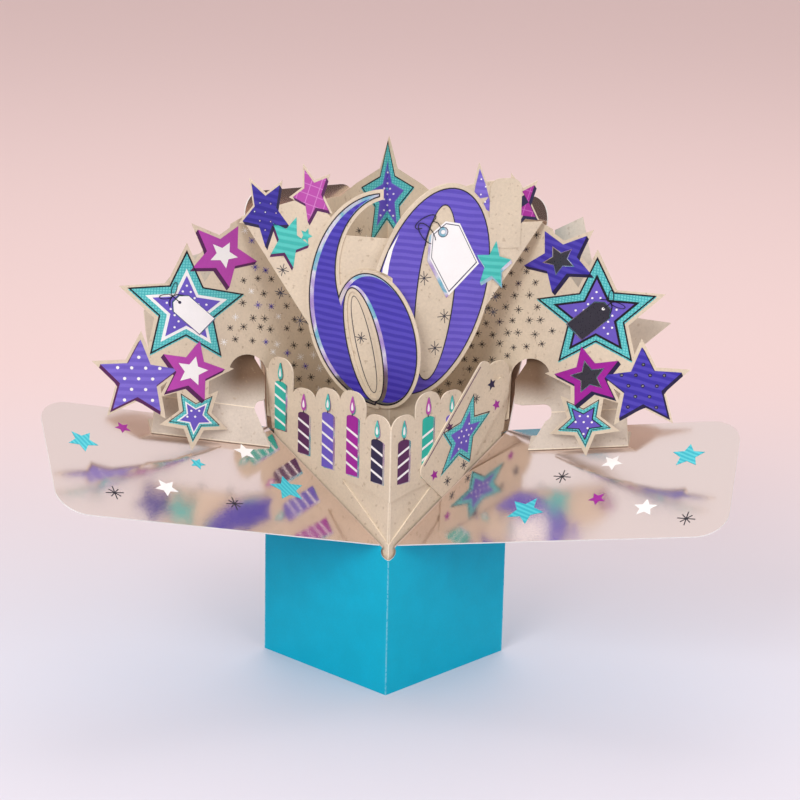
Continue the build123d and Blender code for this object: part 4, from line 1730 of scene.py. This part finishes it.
banded_star(tag_page, TAG_STAR_CENTRE, TAG_STAR_RADIUS, TAG_TURN + 90, "aqua_check", shape=along_tag)
tag_line = [on_tag(-TAG_LINE_HALF, TAG_LINE_ASIDE), on_tag(TAG_LINE_HALF, TAG_LINE_ASIDE)]
tag_page.lay([drawn_line(tag_line, TAG_LINE_WIDTH)], "plum")
for along, aside, size, ink in TAG_SMALL_STARS:
    tag_page.lay([star(on_tag(along, aside), size, TAG_SMALL_STAR_TURN)], ink)
for along, aside in TAG_SPARKLES:
    tag_page.lay([sparkle(on_tag(along, aside), **TAG_SPARKLE)], "charcoal")
tag_page.finish("tag_print", "kraft_card")

# %% [markdown]
# ## Stars on the foil flaps
# The two front flaps fold out along slanted creases and lie almost level, foil side up. Small stars and
# sparkles are scattered on the foil. The flaps' planes come from the same folds as the card: the wall's
# direction and the upright, both turned about the crease.

# %% Flap prints
FLAP_FOLDS = {-1: 91.0, 1: 95.0}
FLAP_STARS = {
    -1: [
        (41.9, 104.6, 5.6, 20, "flap_teal"),
        (28.6, 31.7, 6.6, -12, "flap_teal"),
        (36.7, 63.8, 3.0, 30, "flap_teal"),
        (51.6, 88.8, 3.0, 8, "magenta"),
        (22.0, 77.7, 4.4, 14, "white"),
        (46.3, 44.3, 4.2, -8, "white"),
    ],
    1: [
        (44.4, 100.6, 6.0, -15, "flap_teal"),
        (19.3, 46.1, 6.8, 10, "flap_teal"),
        (24.1, 71.0, 3.2, 24, "magenta"),
        (18.8, 88.6, 4.3, -14, "white"),
        (42.3, 73.8, 4.0, 12, "white"),
    ],
}
FLAP_SPARKLES = {-1: [(16.5, 97.0), (17.5, 53.8)], 1: [(12.8, 103.5), (36.0, 56.7)]}
FLAP_SPARKLE = {"radius": 3.2, "stroke": 0.36, "turn": 8}
for side, wall in ((-1, left_wall), (1, right_wall)):
    crease = (wall * WALL_WIDTH + UPRIGHT * CREASE_RISE).normalized()
    turn = Matrix.Rotation(math.radians(side * FLAP_FOLDS[side]), 3, crease)
    origin = Vector((0, -HALF_DIAGONAL, FRONT_HEIGHT))
    along = turn @ wall
    up = turn @ UPRIGHT
    foil_side = along.cross(up)
    if foil_side.z < 0:
        foil_side = -foil_side
    flap = Print(FlatSheet(origin, along, up, foil_side))
    for across, rise, size, spin, ink in FLAP_STARS[side]:
        flap.lay([star((across, rise), size, spin)], ink)
    for across, rise in FLAP_SPARKLES[side]:
        flap.lay([sparkle((across, rise), **FLAP_SPARKLE)], "black_line")
    flap.finish("flap_left_print" if side < 0 else "flap_right_print", "sleeve_card")

# %% [markdown]
# ## Floor and light
# The card stands on a pale floor, cool white in front and rosy behind, in soft light: a large lamp from the
# front left, a weaker one from the front right and one from above. The surroundings are pale and rosy. Low
# down they are dimmer, except behind the card, which deepens the reflections in the foil. Large lamps give
# the soft shadow under the flaps.

# %% Floor
FLOOR_FRONT = ink_colour(221, 220, 230)
FLOOR_BACK = ink_colour(236, 213, 211)
FLOOR_TURN = (-0.05, 0.45)
FLOOR_REACH = 6.0
FLOOR_ROUGHNESS = 0.6


def make_floor():
    """A wide floor, cool white in front and rosy behind."""
    material, tree, shader = new_finish("pale_floor", roughness=FLOOR_ROUGHNESS)
    depth = add_node(tree, "ShaderNodeSeparateXYZ", None, {0: card_place(tree)}).outputs["Y"]
    share = smooth_range(tree, depth, *FLOOR_TURN)
    colour = mix_colours(tree, share, FLOOR_FRONT, FLOOR_BACK)
    tree.links.new(colour, shader.inputs["Base Color"])
    mesh = bpy.data.meshes.new("floor")
    reach = FLOOR_REACH
    corners = [(-reach, -reach, 0), (reach, -reach, 0), (reach, reach, 0), (-reach, reach, 0)]
    mesh.from_pydata(corners, [], [(0, 1, 2, 3)])
    mesh.materials.append(material)
    floor = bpy.data.objects.new("floor", mesh)
    bpy.context.scene.collection.objects.link(floor)


make_floor()
print("floor reaches in m:", FLOOR_REACH)

# %% Surroundings
ROOM_LOW = ink_colour(238, 206, 202)
ROOM_HIGH = ink_colour(250, 244, 244)
ROOM_DIM = ink_colour(104, 90, 86)
ROOM_RISE = (0.2, 0.95)
ROOM_DIM_RISE = (0.25, 0.7)
ROOM_DIM_BACK = (0.3, 0.75)
ROOM_STRENGTH = 0.92


def make_surroundings():
    """A pale rosy world, lighter overhead, and dim low down at the sides and in front."""
    world = bpy.data.worlds.new("pale room")
    bpy.context.scene.world = world
    world.use_nodes = True
    tree = world.node_tree
    direction = add_node(tree, "ShaderNodeTexCoord").outputs["Generated"]
    aim = add_node(tree, "ShaderNodeSeparateXYZ", None, {0: direction})
    share = smooth_range(tree, aim.outputs["Z"], *ROOM_RISE)
    colour = mix_colours(tree, share, ROOM_LOW, ROOM_HIGH)
    not_behind = smooth_range(tree, aim.outputs["Y"], *ROOM_DIM_BACK, 1.0, 0.0)
    low = smooth_range(tree, aim.outputs["Z"], *ROOM_DIM_RISE, 1.0, 0.0)
    dimmed = mix_colours(tree, maths(tree, "MULTIPLY", not_behind, low), colour, ROOM_DIM)
    background = tree.nodes["Background"]
    tree.links.new(dimmed, background.inputs["Color"])
    background.inputs["Strength"].default_value = ROOM_STRENGTH


make_surroundings()
print("strength of the surroundings:", ROOM_STRENGTH)

# %% Lamps
CARD_MIDDLE = (0, 0, 0.09)
LAMPS = {
    "key_lamp": {"place": (-0.7, -1.2, 0.85), "size": 0.7, "watts": 12.5},
    "fill_lamp": {"place": (0.9, -1.1, 0.65), "size": 0.9, "watts": 6.5},
    "top_lamp": {"place": (0.1, 0.7, 1.4), "size": 1.0, "watts": 5},
}


def add_lamp(name, place, size, watts):
    """A square soft lamp that looks at the middle of the card and isn't mirrored in the foil."""
    data = bpy.data.lights.new(name, "AREA")
    data.size = size
    data.energy = watts
    lamp = bpy.data.objects.new(name, data)
    lamp.location = place
    lamp.rotation_euler = (Vector(CARD_MIDDLE) - Vector(place)).to_track_quat("-Z", "Y").to_euler()
    lamp.visible_glossy = False
    bpy.context.scene.collection.objects.link(lamp)


for name, lamp in LAMPS.items():
    add_lamp(name, **lamp)
bpy.context.scene.view_settings.view_transform = "Standard"
print("lamps:", [item.name for item in bpy.data.lights])
